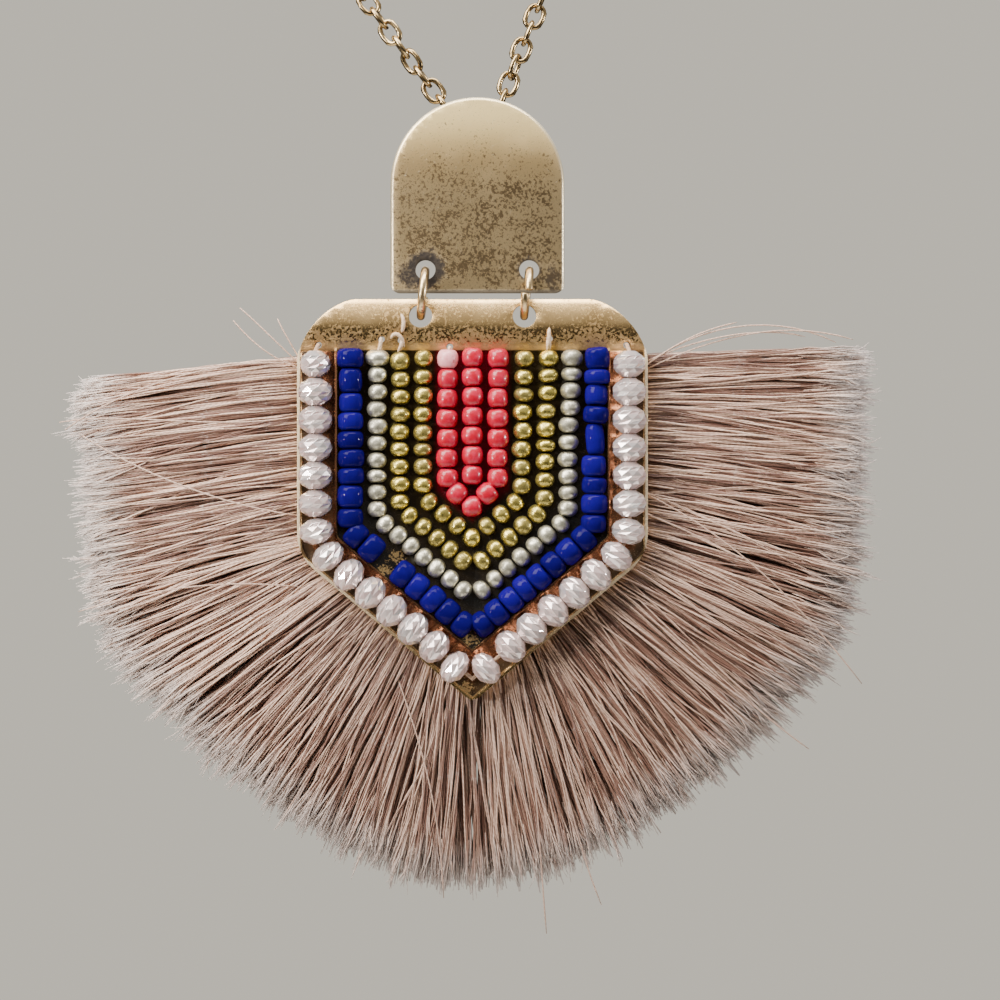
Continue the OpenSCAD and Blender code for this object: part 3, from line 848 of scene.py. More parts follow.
BEAD_FINISHES = (
    BeadFinish(BeadKind.BLUE, (0.0050, 0.0001, 0.075), (0.0095, 0.0003, 0.14)),
    BeadFinish(BeadKind.SILVER, (0.72, 0.68, 0.54), (0.56, 0.53, 0.42), (0.17, 0.16, 0.115)),
    BeadFinish(BeadKind.GOLD, (0.66, 0.53, 0.13), (0.50, 0.41, 0.13), (0.10, 0.075, 0.018)),
    BeadFinish(BeadKind.PINK, (0.44, 0.0006, 0.020), (0.56, 0.018, 0.060), (0.40, 0.003, 0.026)),
)


@dataclass(frozen=True)
class SilkFinish:
    """Dusty rose silk thread: twisted plies, dark mauve at the root as a painted shadow, and whitish at the
    cut end.

    groove: Painted shade between the plies.
    shade, level: The deeper tone towards the foot and the right, and the height where it starts.
    """

    name: str = "fringe_thread"
    # Colour of the painted shadow at the root, next to the shield
    root: Colour = (0.10, 0.042, 0.026)
    middle: Colour = (0.30, 0.162, 0.116)
    # pale: painted highlight on the lighter threads; mauve: painted shade on the threads deeper in the fan
    pale: Colour = (0.93, 0.65, 0.50)
    tip: Colour = (1.0, 0.93, 0.88)
    mauve: Colour = (0.12, 0.044, 0.031)
    groove: Colour = (0.10, 0.044, 0.032)
    shade: Colour = (0.11, 0.055, 0.038)
    level: float = -206.5

    def material(self) -> Material:
        """Builds the material."""
        g = Graph(self.name)
        uv = g.node("ShaderNodeUVMap", {"uv_map": "thread"})
        along, around, _ = g.split(uv)
        tint = g.attribute("tint")
        share = g.attribute("share")
        twist = ((along * 11.0 + around * 6.2832) + tint * 30.0).sine() * 0.5 + 0.5
        fleck = g.noise(g.scaled(uv, (1.6, 0.4, 1.0)), 1.0, 2.0)
        # Painted shadow: each thread starts dark at the root and lightens over the first part of its length
        colour = g.mix(share.rise(0.02, 0.42), self.root, self.middle)
        # The tint carries painted light besides a random tone: deeper threads take the mauve as painted shade,
        # lighter ones the pale colour as painted highlight
        colour = g.mix(tint.rise(0.54, 0.78) * 0.95, colour, self.pale)
        colour = g.mix(tint.rise(0.46, 0.12) * 0.85, colour, self.mauve)
        colour = g.mix(share.rise(0.80, 1.0) * 0.7, colour, self.tip)
        # Painted shade in the grooves between the twisted plies
        colour = g.mix(twist * 0.28, colour, self.groove)
        colour = g.mix(fleck.rise(0.6, 0.8) * 0.35, colour, self.tip)
        x, _, z = g.split(g.place())
        shaded = (x * 0.004 + (self.level - z) * 0.009).rise(-0.12, 0.42)
        colour = g.mix(shaded * 0.5, colour, self.shade)
        g.finish(Specular_IOR_Level=0.7)
        return g.finish(Base_Color=colour, Roughness=0.28 + fleck * 0.16, Normal=g.bump(twist, 0.015, 0.5))


@dataclass(frozen=True)
class ThreadFinish:
    """Cream beading thread."""

    name: str = "bead_thread"
    colour: Colour = (0.86, 0.68, 0.50)
    groove: Colour = (0.60, 0.40, 0.26)

    def material(self) -> Material:
        """Builds the material."""
        g = Graph(self.name)
        mm = g.place()
        ply = g.noise(g.turned(mm, (20.0, 35.0, 0.0), (1.0, 1.0, 6.0)), 2.0, 2.0)
        # Painted shade in the grooves between the plies
        colour = g.mix(ply.rise(0.3, 0.7), self.colour, self.groove)
        return g.finish(Base_Color=colour, Roughness=0.5 + ply * 0.2, Normal=g.bump(ply, 0.04, 0.6))


@dataclass(frozen=True)
class FeltFinish:
    """The backing behind the shield: pressed felt in the fringe's colour."""

    name: str = "fringe_backing"
    dark: Colour = (0.30, 0.17, 0.14)
    light: Colour = (0.48, 0.31, 0.26)
    dust: Colour = (0.30, 0.19, 0.17)

    def material(self) -> Material:
        """Builds the material."""
        g = Graph(self.name)
        mm = g.place()
        fuzz = g.noise(mm, 5.0, 5.0, 0.75, 1.0)
        cloud = g.noise(mm, 0.5, 2.0)
        colour = g.mix(fuzz.rise(0.35, 0.7), self.dark, self.light)
        colour = g.mix(cloud.rise(0.4, 0.7) * 0.3, colour, self.dust)
        g.finish(Sheen_Weight=0.3, Sheen_Roughness=0.5)
        return g.finish(Base_Color=colour, Roughness=0.85, Normal=g.bump(fuzz, 0.12, 0.8))


@dataclass(frozen=True)
class StagePaint:
    """Matt pale paint for the floor."""

    name: str = "pale_floor"
    colour: Colour = (0.72, 0.70, 0.66)

    def material(self) -> Material:
        """Builds the material."""
        g = Graph(self.name)
        soft = g.noise(g.place(), 0.02, 2.0)
        darker = tuple(c * 0.94 for c in self.colour)
        return g.finish(Base_Color=g.mix(soft.rise(0.3, 0.7), self.colour, darker), Roughness=0.9)


# Shapes


def smooth(t: np.ndarray) -> np.ndarray:
    """A smooth step from 0 to 1 of values clipped to that range."""
    t = np.clip(t, 0.0, 1.0)
    return t * t * (3.0 - 2.0 * t)


def curved(corners: Sequence[Pair], u: np.ndarray) -> np.ndarray:
    """Points on the cubic curve of four corners, at shares u of its way."""
    weights = np.stack([(1 - u) ** 3, 3 * u * (1 - u) ** 2, 3 * u * u * (1 - u), u ** 3], axis=1)
    return weights @ np.array(corners)


def rotated(bm: BMesh, verts: Iterable[bmesh.types.BMVert], angle: float, axis: str) -> None:
    """Turns points about the origin by an angle in radians."""
    bmesh.ops.rotate(bm, verts=list(verts), cent=(0, 0, 0), matrix=Matrix.Rotation(angle, 3, axis))


def wire_profile(ring_r: float, wire_r: float, count: int) -> list[Pair]:
    """The round section of a ring's wire: radius and height of each point."""
    angles = [k * math.tau / count for k in range(count)]
    return [(ring_r + wire_r * math.cos(a), wire_r * math.sin(a)) for a in angles]


def recalculated(bm: BMesh) -> BMesh:
    """Merges a mesh's doubles and turns its faces outwards.

    Args:
        bm: The mesh.

    Returns:
        The same mesh.
    """
    bmesh.ops.remove_doubles(bm, verts=bm.verts, dist=1e-4)
    bmesh.ops.recalc_face_normals(bm, faces=bm.faces)
    return bm


def spun(profile: Sequence[Pair], sides: int) -> BMesh:
    """Spins a closed profile round Z.

    Args:
        profile: Radius and height of each point, closed on itself.
        sides: Number of sides.

    Returns:
        The spun shape.
    """
    bm = bmesh.new()
    verts = [bm.verts.new((r, 0.0, z)) for r, z in profile]
    edges = [bm.edges.new((a, b)) for a, b in zip(verts, verts[1:] + verts[:1])]
    bmesh.ops.spin(
        bm, geom=verts + edges, cent=(0, 0, 0), axis=(0, 0, 1), dvec=(0, 0, 0), angle=math.tau, steps=sides,
        use_merge=True, use_duplicate=False,
    )
    return recalculated(bm)


def bevelled(bm: BMesh, width: float, steps: int, sharper_than: float) -> BMesh:
    """Bevels a mesh's sharp edges.

    Args:
        bm: The mesh.
        width: Width of the bevel.
        steps: Number of steps across it.
        sharper_than: Least angle between two faces, in degrees.

    Returns:
        The same mesh.
    """
    limit = math.radians(sharper_than)
    edges = [e for e in bm.edges if len(e.link_faces) == 2 and e.calc_face_angle(0.0) > limit]
    bmesh.ops.bevel(
        bm, geom=edges, offset=width, offset_type="OFFSET", affect="EDGES", segments=steps, profile=0.5,
        material=-1, clamp_overlap=True,
    )
    return bm


def cut_in_steps(bm: BMesh, axis: int, step: float) -> BMesh:
    """Cuts a mesh along even planes, so that no long face spoils its shading.

    Args:
        bm: The mesh.
        axis: The axis that the planes stand across, 0 to 2.
        step: Distance between the planes.

    Returns:
        The same mesh.
    """
    reach = [v.co[axis] for v in bm.verts]
    low, high = min(reach), max(reach)
    normal = Vector((0.0, 0.0, 0.0))
    normal[axis] = 1.0
    for k in range(int((high - low) / step)):
        everything = [*bm.verts, *bm.edges, *bm.faces]
        place = normal * (low + (k + 0.5) * step)
        bmesh.ops.bisect_plane(bm, geom=everything, dist=1e-4, plane_co=place, plane_no=normal)
    return bm


def published(bm: BMesh, name: str, smooth_below: float | None = 40.0) -> Mesh:
    """Turns a mesh in millimetres into a mesh in metres.

    Args:
        bm: The mesh, which is freed.
        name: The new mesh's name.
        smooth_below: Edges flatter than this many degrees are shaded smooth. None leaves facets.

    Returns:
        The mesh.
    """
    bm.transform(Matrix.Scale(MM, 4))
    mesh = bpy.data.meshes.new(name)
    bm.to_mesh(mesh)
    bm.free()
    if smooth_below is not None:
        mesh.shade_smooth()
        mesh.set_sharp_from_angle(angle=math.radians(smooth_below))
    return mesh


def mesh_from_arrays(
    name: str,
    points: np.ndarray,
    faces: np.ndarray,
    values: dict[str, np.ndarray],
    uv: np.ndarray | None = None,
) -> Mesh:
    """Joins many small things, given as arrays, into one smooth mesh in metres.

    Args:
        name: The mesh's name.
        points: Corners in millimetres, one row each.
        faces: Corner numbers, one row of four to a face.
        values: Attributes, with one number to each corner.
        uv: Texture coordinates, one row to each face's corner in turn.

    Returns:
        The mesh.
    """
    mesh = bpy.data.meshes.new(name)
    size = faces.shape[1]
    mesh.vertices.add(len(points))
    mesh.vertices.foreach_set("co", (points * MM).astype(np.float32).ravel())
    mesh.loops.add(faces.size)
    mesh.loops.foreach_set("vertex_index", faces.astype(np.int32).ravel())
    mesh.polygons.add(len(faces))
    mesh.polygons.foreach_set("loop_start", np.arange(0, faces.size, size, dtype=np.int32))
    mesh.polygons.foreach_set("use_smooth", np.full(len(faces), True))
    for key, numbers in values.items():
        held = mesh.attributes.new(key, "FLOAT", "POINT")
        held.data.foreach_set("value", numbers.astype(np.float32).ravel())
    if uv is not None:
        mesh.uv_layers.new(name="thread").data.foreach_set("uv", uv.astype(np.float32).ravel())
    mesh.update(calc_edges=True)
    mesh.validate()
    return mesh


def placed(name: str, data: bpy.types.ID) -> Object:
    """Links a new object to the scene.

    Args:
        name: The object's name.
        data: Its mesh, light or camera.

    Returns:
        The object.
    """
    obj = bpy.data.objects.new(name, data)
    bpy.context.scene.collection.objects.link(obj)
    return obj


def piece(
    name: str,
    mesh: Mesh,
    material: Material,
    body: Body,
    stands_for: Sequence[str] = (),
) -> None:
    """Puts a mesh into the scene as a piece of the necklace.

    Args:
        name: The piece's name.
        mesh: Its mesh, in place.
        material: Its finish.
        body: The body it rides on.
        stands_for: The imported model's nodes that it replaces.
    """
    obj = placed(name, mesh)
    mesh.materials.append(material)
    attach(obj, body.value)
    if stands_for:
        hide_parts(*stands_for)
    LOG.info("%s: %d faces on %s", name, len(mesh.polygons), body.value)


@dataclass
class Pattern:
    """A small shape as arrays, ready to be repeated."""

    points: np.ndarray
    faces: np.ndarray
    inner: np.ndarray

    @classmethod
    def of(cls, bm: BMesh, inner: Callable[[Vector], float] = lambda co: 0.0) -> "Pattern":
        """Reads a mesh whose faces all have four corners.

        Args:
            bm: The mesh, which is freed.
            inner: How far a point lies in a crevice, 0 to 1.

        Returns:
            The pattern.
        """
        bm.verts.index_update()
        points = np.array([v.co[:] for v in bm.verts])
        faces = np.array([[v.index for v in f.verts] for f in bm.faces])
        depth = np.array([inner(v.co) for v in bm.verts])
        bm.free()
        return cls(points, faces, depth)

    def repeated(self, name: str, places: Sequence[Matrix], **values: Sequence[float]) -> Mesh:
        """Copies of the pattern joined in one mesh.

        Args:
            name: The mesh's name.
            places: One matrix to each copy.
            **values: One number to each copy, kept as an attribute.

        Returns:
            The mesh.
        """
        count, size = len(places), len(self.points)
        turns = np.array([m.to_3x3() for m in places])
        shifts = np.array([m.translation for m in places])
        points = np.einsum("nij,kj->nki", turns, self.points) + shifts[:, None, :]
        faces = self.faces[None] + (np.arange(count) * size)[:, None, None]
        spread = {key: np.repeat(np.asarray(numbers, float), size) for key, numbers in values.items()}
        spread["inner"] = np.tile(self.inner, count)
        return mesh_from_arrays(name, points.reshape(-1, 3), faces.reshape(-1, 4), spread)


def tubes(name: str, lines: np.ndarray, radii: np.ndarray, values: dict[str, np.ndarray]) -> Mesh:
    """Sweeps many square threads of the same number of points in one mesh.

    Args:
        name: The mesh's name.
        lines: Points of each thread, thread by point by axis.
        radii: Radius at each point.
        values: Attributes, thread by point.

    Returns:
        The mesh, with each thread closed at both ends.
    """
    # Four sides, so that the face that closes an end has four corners like the others
    sides = 4
    count, rings, _ = lines.shape
    tangent = np.gradient(lines, axis=1)
    tangent /= np.linalg.norm(tangent, axis=2, keepdims=True)
    across = np.cross(tangent, np.array([0.0, 1.0, 0.0]))
    across /= np.maximum(np.linalg.norm(across, axis=2, keepdims=True), 1e-9)
    aside = np.cross(tangent, across)
    angle = np.arange(sides) * math.tau / sides
    ring = np.cos(angle)[:, None] * across[:, :, None, :] + np.sin(angle)[:, None] * aside[:, :, None, :]
    points = lines[:, :, None, :] + radii[:, :, None, None] * ring
    k, j = np.meshgrid(np.arange(rings - 1), np.arange(sides), indexing="ij")
    this, after, beside = k * sides, (k + 1) * sides, (j + 1) % sides
    wall = np.stack([this + j, this + beside, after + beside, after + j], axis=-1).reshape(-1, 4)
    cap = np.arange(sides)
    faces = np.concatenate([wall, [cap[::-1], cap + (rings - 1) * sides]])
    faces = faces[None] + (np.arange(count) * rings * sides)[:, None, None]
    steps = np.linalg.norm(np.diff(lines, axis=1), axis=2)
    length = np.concatenate([np.zeros((count, 1)), np.cumsum(steps, axis=1)], axis=1)
    near, far = length[:, k], length[:, k + 1]
    wall_u = np.stack([near, near, far, far], axis=-1).reshape(count, -1, 4)
    wall_v = np.broadcast_to(np.stack([j, j + 1, j + 1, j], axis=-1).reshape(1, -1, 4) / sides, wall_u.shape)
    cap_u = np.broadcast_to(length[:, [0, -1]][:, :, None], (count, 2, 4))
    corner_u = np.concatenate([wall_u, cap_u], axis=1)
    corner_v = np.concatenate([wall_v, np.zeros((count, 2, 4))], axis=1)
    uv = np.stack([corner_u, corner_v], axis=-1).reshape(-1, 2)
    spread = {key: np.repeat(numbers, sides, axis=1).ravel() for key, numbers in values.items()}
    return mesh_from_arrays(name, points.reshape(-1, 3), faces.reshape(-1, 4), spread, uv)


@dataclass
class MetalWork:
    """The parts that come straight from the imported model, merged, with their sharp edges eased."""

    nodes: dict[str, Object]
    weld: float = 1e-3
    flat_below: float = 0.4

    def merged(self, node: str, width: float, steps: int = 2, sharper_than: float = 42.0) -> BMesh:
        """A merged copy of a node's mesh with its sharp edges bevelled, in millimetres.

        Args:
            node: The node's name.
            width: Width of the bevel.
            steps: Number of steps across it.
            sharper_than: Least angle of the edges that are bevelled.

        Returns:
            The copy.
        """
        bm = bmesh.new()
        bm.from_mesh(self.nodes[node].data)
        bm.transform(Matrix.Scale(1 / MM, 4))
        bmesh.ops.remove_doubles(bm, verts=bm.verts, dist=self.weld)
        flat = math.radians(self.flat_below)
        bmesh.ops.dissolve_limit(
            bm, angle_limit=flat, use_dissolve_boundaries=False, verts=bm.verts, edges=bm.edges
        )
        if width > 0:
            bevelled(bm, width, steps, sharper_than)
        return bm


@dataclass
class Plaque:
    """The arched plaque with its two eyes. Its front is set to the true dome, point by point.

    middle: X of its middle line.
    depth, edge_half: Y of its middle, and half its thickness at the edge.
    crown, edge_round: Height of the dome, and the reach of its rounded edge.
    cell: Distance between the cuts that keep its shading even.
    """

    metal: MetalWork
    middle: float
    finish: PlaqueGold = field(default_factory=PlaqueGold)
    bevel: float = 0.09
    depth: float = -127.871
    edge_half: float = 0.4
    crown: float = 0.4
    edge_round: float = 0.35
    margin: float = 0.05
    hole_r: float = 1.05
    cell: float = 0.7

    def dome(self, v: bmesh.types.BMVert) -> None:
        """Moves a point of the front face onto the dome.

        Args:
            v: The point.
        """
        look = self.finish
        x = v.co.x - self.middle
        from_middle = math.hypot(x, max(0.0, v.co.z - look.top + look.half))
        from_hole = math.hypot(abs(x) - look.hole_x, v.co.z - look.hole_z)
        past_bevel = 2 * self.bevel
        in_front = v.co.y < self.depth and v.co.z > look.bottom + past_bevel
        within = from_middle < look.half - self.edge_round - self.margin
        if in_front and within and from_hole > self.hole_r + past_bevel:
            v.co.y = self.depth - self.edge_half - self.crown * (1 - (from_middle / look.half) ** 2)

    def make(self) -> None:
        """Builds the plaque."""
        bm = self.metal.merged("plaque", self.bevel)
        cut_in_steps(cut_in_steps(bm, 0, self.cell), 2, self.cell)
        for v in bm.verts:
            self.dome(v)
        material = self.finish.material()
        mesh = published(bm, "plaque", METAL_SMOOTH)
        piece("arched_plaque", mesh, material, Body.ROOT, ["plaque"])


@dataclass
class Shield:
    """The cast shield with its bar, rim and inner wall."""

    metal: MetalWork
    plan: ShieldPlan
    bevel: float = 0.09
    cell: float = 1.1

    def make(self) -> None:
        """Builds the shield."""
        bm = cut_in_steps(self.metal.merged("shield", self.bevel), 0, self.cell)
        material = ShieldGold(plan=self.plan).material()
        mesh = published(bm, "shield", METAL_SMOOTH)
        piece("cast_shield", mesh, material, Body.DROP, ["shield"])


@dataclass
class JumpRings:
    """The two rings between plaque and shield. The right one shows its slit, with its ends a little aside.

    mean_r, wire: Radius to the middle of the wire, and the wire's diameter.
    slit: Width of the slit in degrees.
    aside: How far the slit's two ends stand apart.
    tilt: The rings' lean from upright in degrees.
    """

    mean_r: float = 2.425
    wire: float = 0.85
    slit: float = 9.0
    aside: float = 0.2
    left_share: float = 0.3
    tilt: float = 5.92
    steps: int = 72
    wire_sides: int = 20
    end_bevel: float = 0.1

    def ring(self, side: int, centre: Vector) -> Mesh:
        """One ring of round wire with two eased ends.

        Args:
            side: -1 for the left ring and 1 for the right one.
            centre: Its centre in millimetres.

        Returns:
            The mesh.
        """
        bm = bmesh.new()
        bmesh.ops.create_circle(
            bm, cap_ends=True, cap_tris=False, radius=self.wire / 2, segments=self.wire_sides
        )
        rotated(bm, bm.verts, math.pi / 2, "X")
        bmesh.ops.translate(bm, verts=bm.verts, vec=(self.mean_r, 0, 0))
        half_slit = math.radians(self.slit / 2)
        rotated(bm, bm.verts, half_slit, "Z")
        bmesh.ops.spin(
            bm, geom=[*bm.verts, *bm.edges, *bm.faces], cent=(0, 0, 0), axis=(0, 0, 1), dvec=(0, 0, 0),
            angle=math.tau - 2 * half_slit, steps=self.steps, use_merge=False, use_duplicate=False,
        )
        bmesh.ops.recalc_face_normals(bm, faces=bm.faces)
        bevelled(bm, self.end_bevel, 3, 60.0)
        for v in bm.verts:
            around = math.atan2(v.co.y, v.co.x) % math.tau / math.tau - 0.5
            v.co.z += self.aside * (2 * around) ** 3 * (1 if side > 0 else self.left_share)
        rotated(bm, bm.verts, -side * math.pi / 2, "Z")
        rotated(bm, bm.verts, math.pi / 2 + math.radians(self.tilt), "Y")
        bmesh.ops.translate(bm, verts=bm.verts, vec=centre)
        return published(bm, "jump_ring", 50.0)

    def make(self) -> None:
        """Builds both rings."""
        look = WireGold(wear=-0.05, bright=(0.80, 0.60, 0.34), dull=(0.52, 0.37, 0.19), grain=2.2)
        gold = look.material()
        for side, word in SIDES:
            mesh = self.ring(side, node_centre(f"jump_ring_{word}"))
            piece(f"ring_{word}", mesh, gold, Body.RINGS, [f"jump_ring_{word}"])


@dataclass
class GlassStones:
    """The cut and drilled glass stones round the shield, each turned its own way on the thread."""

    plan: ShieldPlan
    per_side: int = 14
    diameter: float = 3.7
    thickness: float = 2.85
    bend_thickness: float = 2.6
    tip_thickness: float = 2.5
    hole: float = 1.1
    facets: int = 10
    inset: float = 1.95
    bend: float = 6.0
    first: float = 1.55
    pitch: float = 2.884
    tip_shift: tuple[Triple, Triple] = ((-0.1, -0.08, -0.25), (-0.32, -0.12, -0.4))
    first_girth: Pair = (0.88, 0.93)
    first_thickness: float = 0.96
    facet_bevel: float = 0.022
    facet_area: float = 0.06
    seed: int = 5

    def stone(self, rng: Rng, t: float, girth: float) -> BMesh:
        """One stone about the origin, its thread along Z.

        Args:
            rng: Gives the facets their random painted reflections.
            t: Its thickness.
            girth: Its girth as a share of the full diameter.

        Returns:
            The stone in millimetres.
        """
        bm = bmesh.new()
        radius = self.diameter / 2 * girth
        step = math.pi / self.facets
        # Each row: share of the radius, share of the thickness, and 1 where it is turned by half a facet
        rows = ((0.40, 0.5, 0), (0.825, 0.31, 1), (math.cos(step), 0.17, 0), (1.0, 0.0, 1))
        rows = (*rows, *((share, -height, odd) for share, height, odd in rows[-2::-1]))
        hole = self.hole / self.diameter
        rows = (*rows, (hole, -0.47, 0), (hole, 0.47, 0))
        rings = []
        for share, height, odd in rows:
            made = bmesh.ops.create_circle(bm, cap_ends=False, radius=share * radius, segments=self.facets)
            rotated(bm, made["verts"], step * odd, "Z")
            bmesh.ops.translate(bm, verts=made["verts"], vec=(0, 0, height * t))
            rings.append([e for e in bm.edges if all(v in made["verts"] for v in e.verts)])
        for a, b in zip(rings, rings[1:] + rings[:1]):
            bmesh.ops.bridge_loops(bm, edges=a + b)
        recalculated(bm)
        bmesh.ops.dissolve_limit(bm, angle_limit=math.radians(1.5), verts=bm.verts, edges=bm.edges)
        bevelled(bm, self.facet_bevel, 1, 9.0)
        # Each large facet gets a random value for its painted reflection, each small one a fixed value
        shade = bm.faces.layers.float.new("facet")
        for face in bm.faces:
            face[shade] = rng.random() if face.calc_area() > self.facet_area else 0.8
        return bm

    def make(self) -> None:
        """Builds the stones."""
        rng = np.random.default_rng(self.seed)
        glass = OpalGlass().material()
        for k in range(2 * self.per_side):
            side, number = (1 if k >= self.per_side else -1), k % self.per_side
            near = self.first + self.pitch * (number + np.array([-1.0, 0.0, 1.0]))
            heading = self.plan.along(self.inset, self.bend, near)[2]
            bent = float(np.abs(np.diff(heading)).max()) / (self.pitch / self.bend)
            t = self.thickness + (self.bend_thickness - self.thickness) * min(bent, 1.0)
            centre = node_centre(f"stone_{k + 1:02d}")
            if number == self.per_side - 1:
                t = self.tip_thickness
                centre += Vector(self.tip_shift[side > 0])
            first = number == 0
            girth = self.first_girth[side > 0] if first else rng.uniform(0.975, 1.0)
            bm = self.stone(rng, t * (self.first_thickness if first else 1.0), girth)
            turn = Matrix.Rotation(rng.uniform(0, math.tau), 4, "Z")
            tilt = Matrix.Rotation(math.radians(rng.uniform(-1.5, 1.5)), 4, "X")
            lean = Matrix.Rotation(side * float(heading[1]), 4, "Y")
            bm.transform(Matrix.Translation(centre) @ lean @ tilt @ turn)
            mesh = published(bm, "stone", None)
            tint = mesh.attributes.new("tint", "FLOAT", "POINT")
            tint.data.foreach_set("value", np.full(len(mesh.vertices), rng.random(), np.float32))
            piece(f"glass_stone_{k + 1:02d}", mesh, glass, Body.DROP, [f"stone_{k + 1:02d}"])


@dataclass
class BeadRow:
    """One row of seed beads, down one side of the tray and up the other.

    A bead's number counts from the bar, below 0 on the left side and above 0 on the right side.

    inset, bend: The row's distance inside the shield's edge, and the radius of its bend.
    starts, tip: Distances along the path from the bar to the first beads, and from the last ones to the tip.
    single_tip: Whether the two sides share their last bead.
    lengths: Length and girth of the beads that differ, by number.
    missing, pale: Numbers of the beads that are lost, and of the cream ones.
    fill: How much of its place a bead's length takes.
    lean: How far the right side's top leans outwards.
    """

    node: str
    kind: BeadKind
    inset: float
    diameter: float
    pitch: float
    bend: float
    starts: Pair = (0.9, 0.9)
    tip: float = 1.2
    single_tip: bool = False
    missing: tuple[int, ...] = ()
    lengths: dict[int, Pair] = field(default_factory=dict)
    pale: tuple[int, ...] = ()
    fill: Pair = (0.93, 0.995)
    lean: float = 0.0


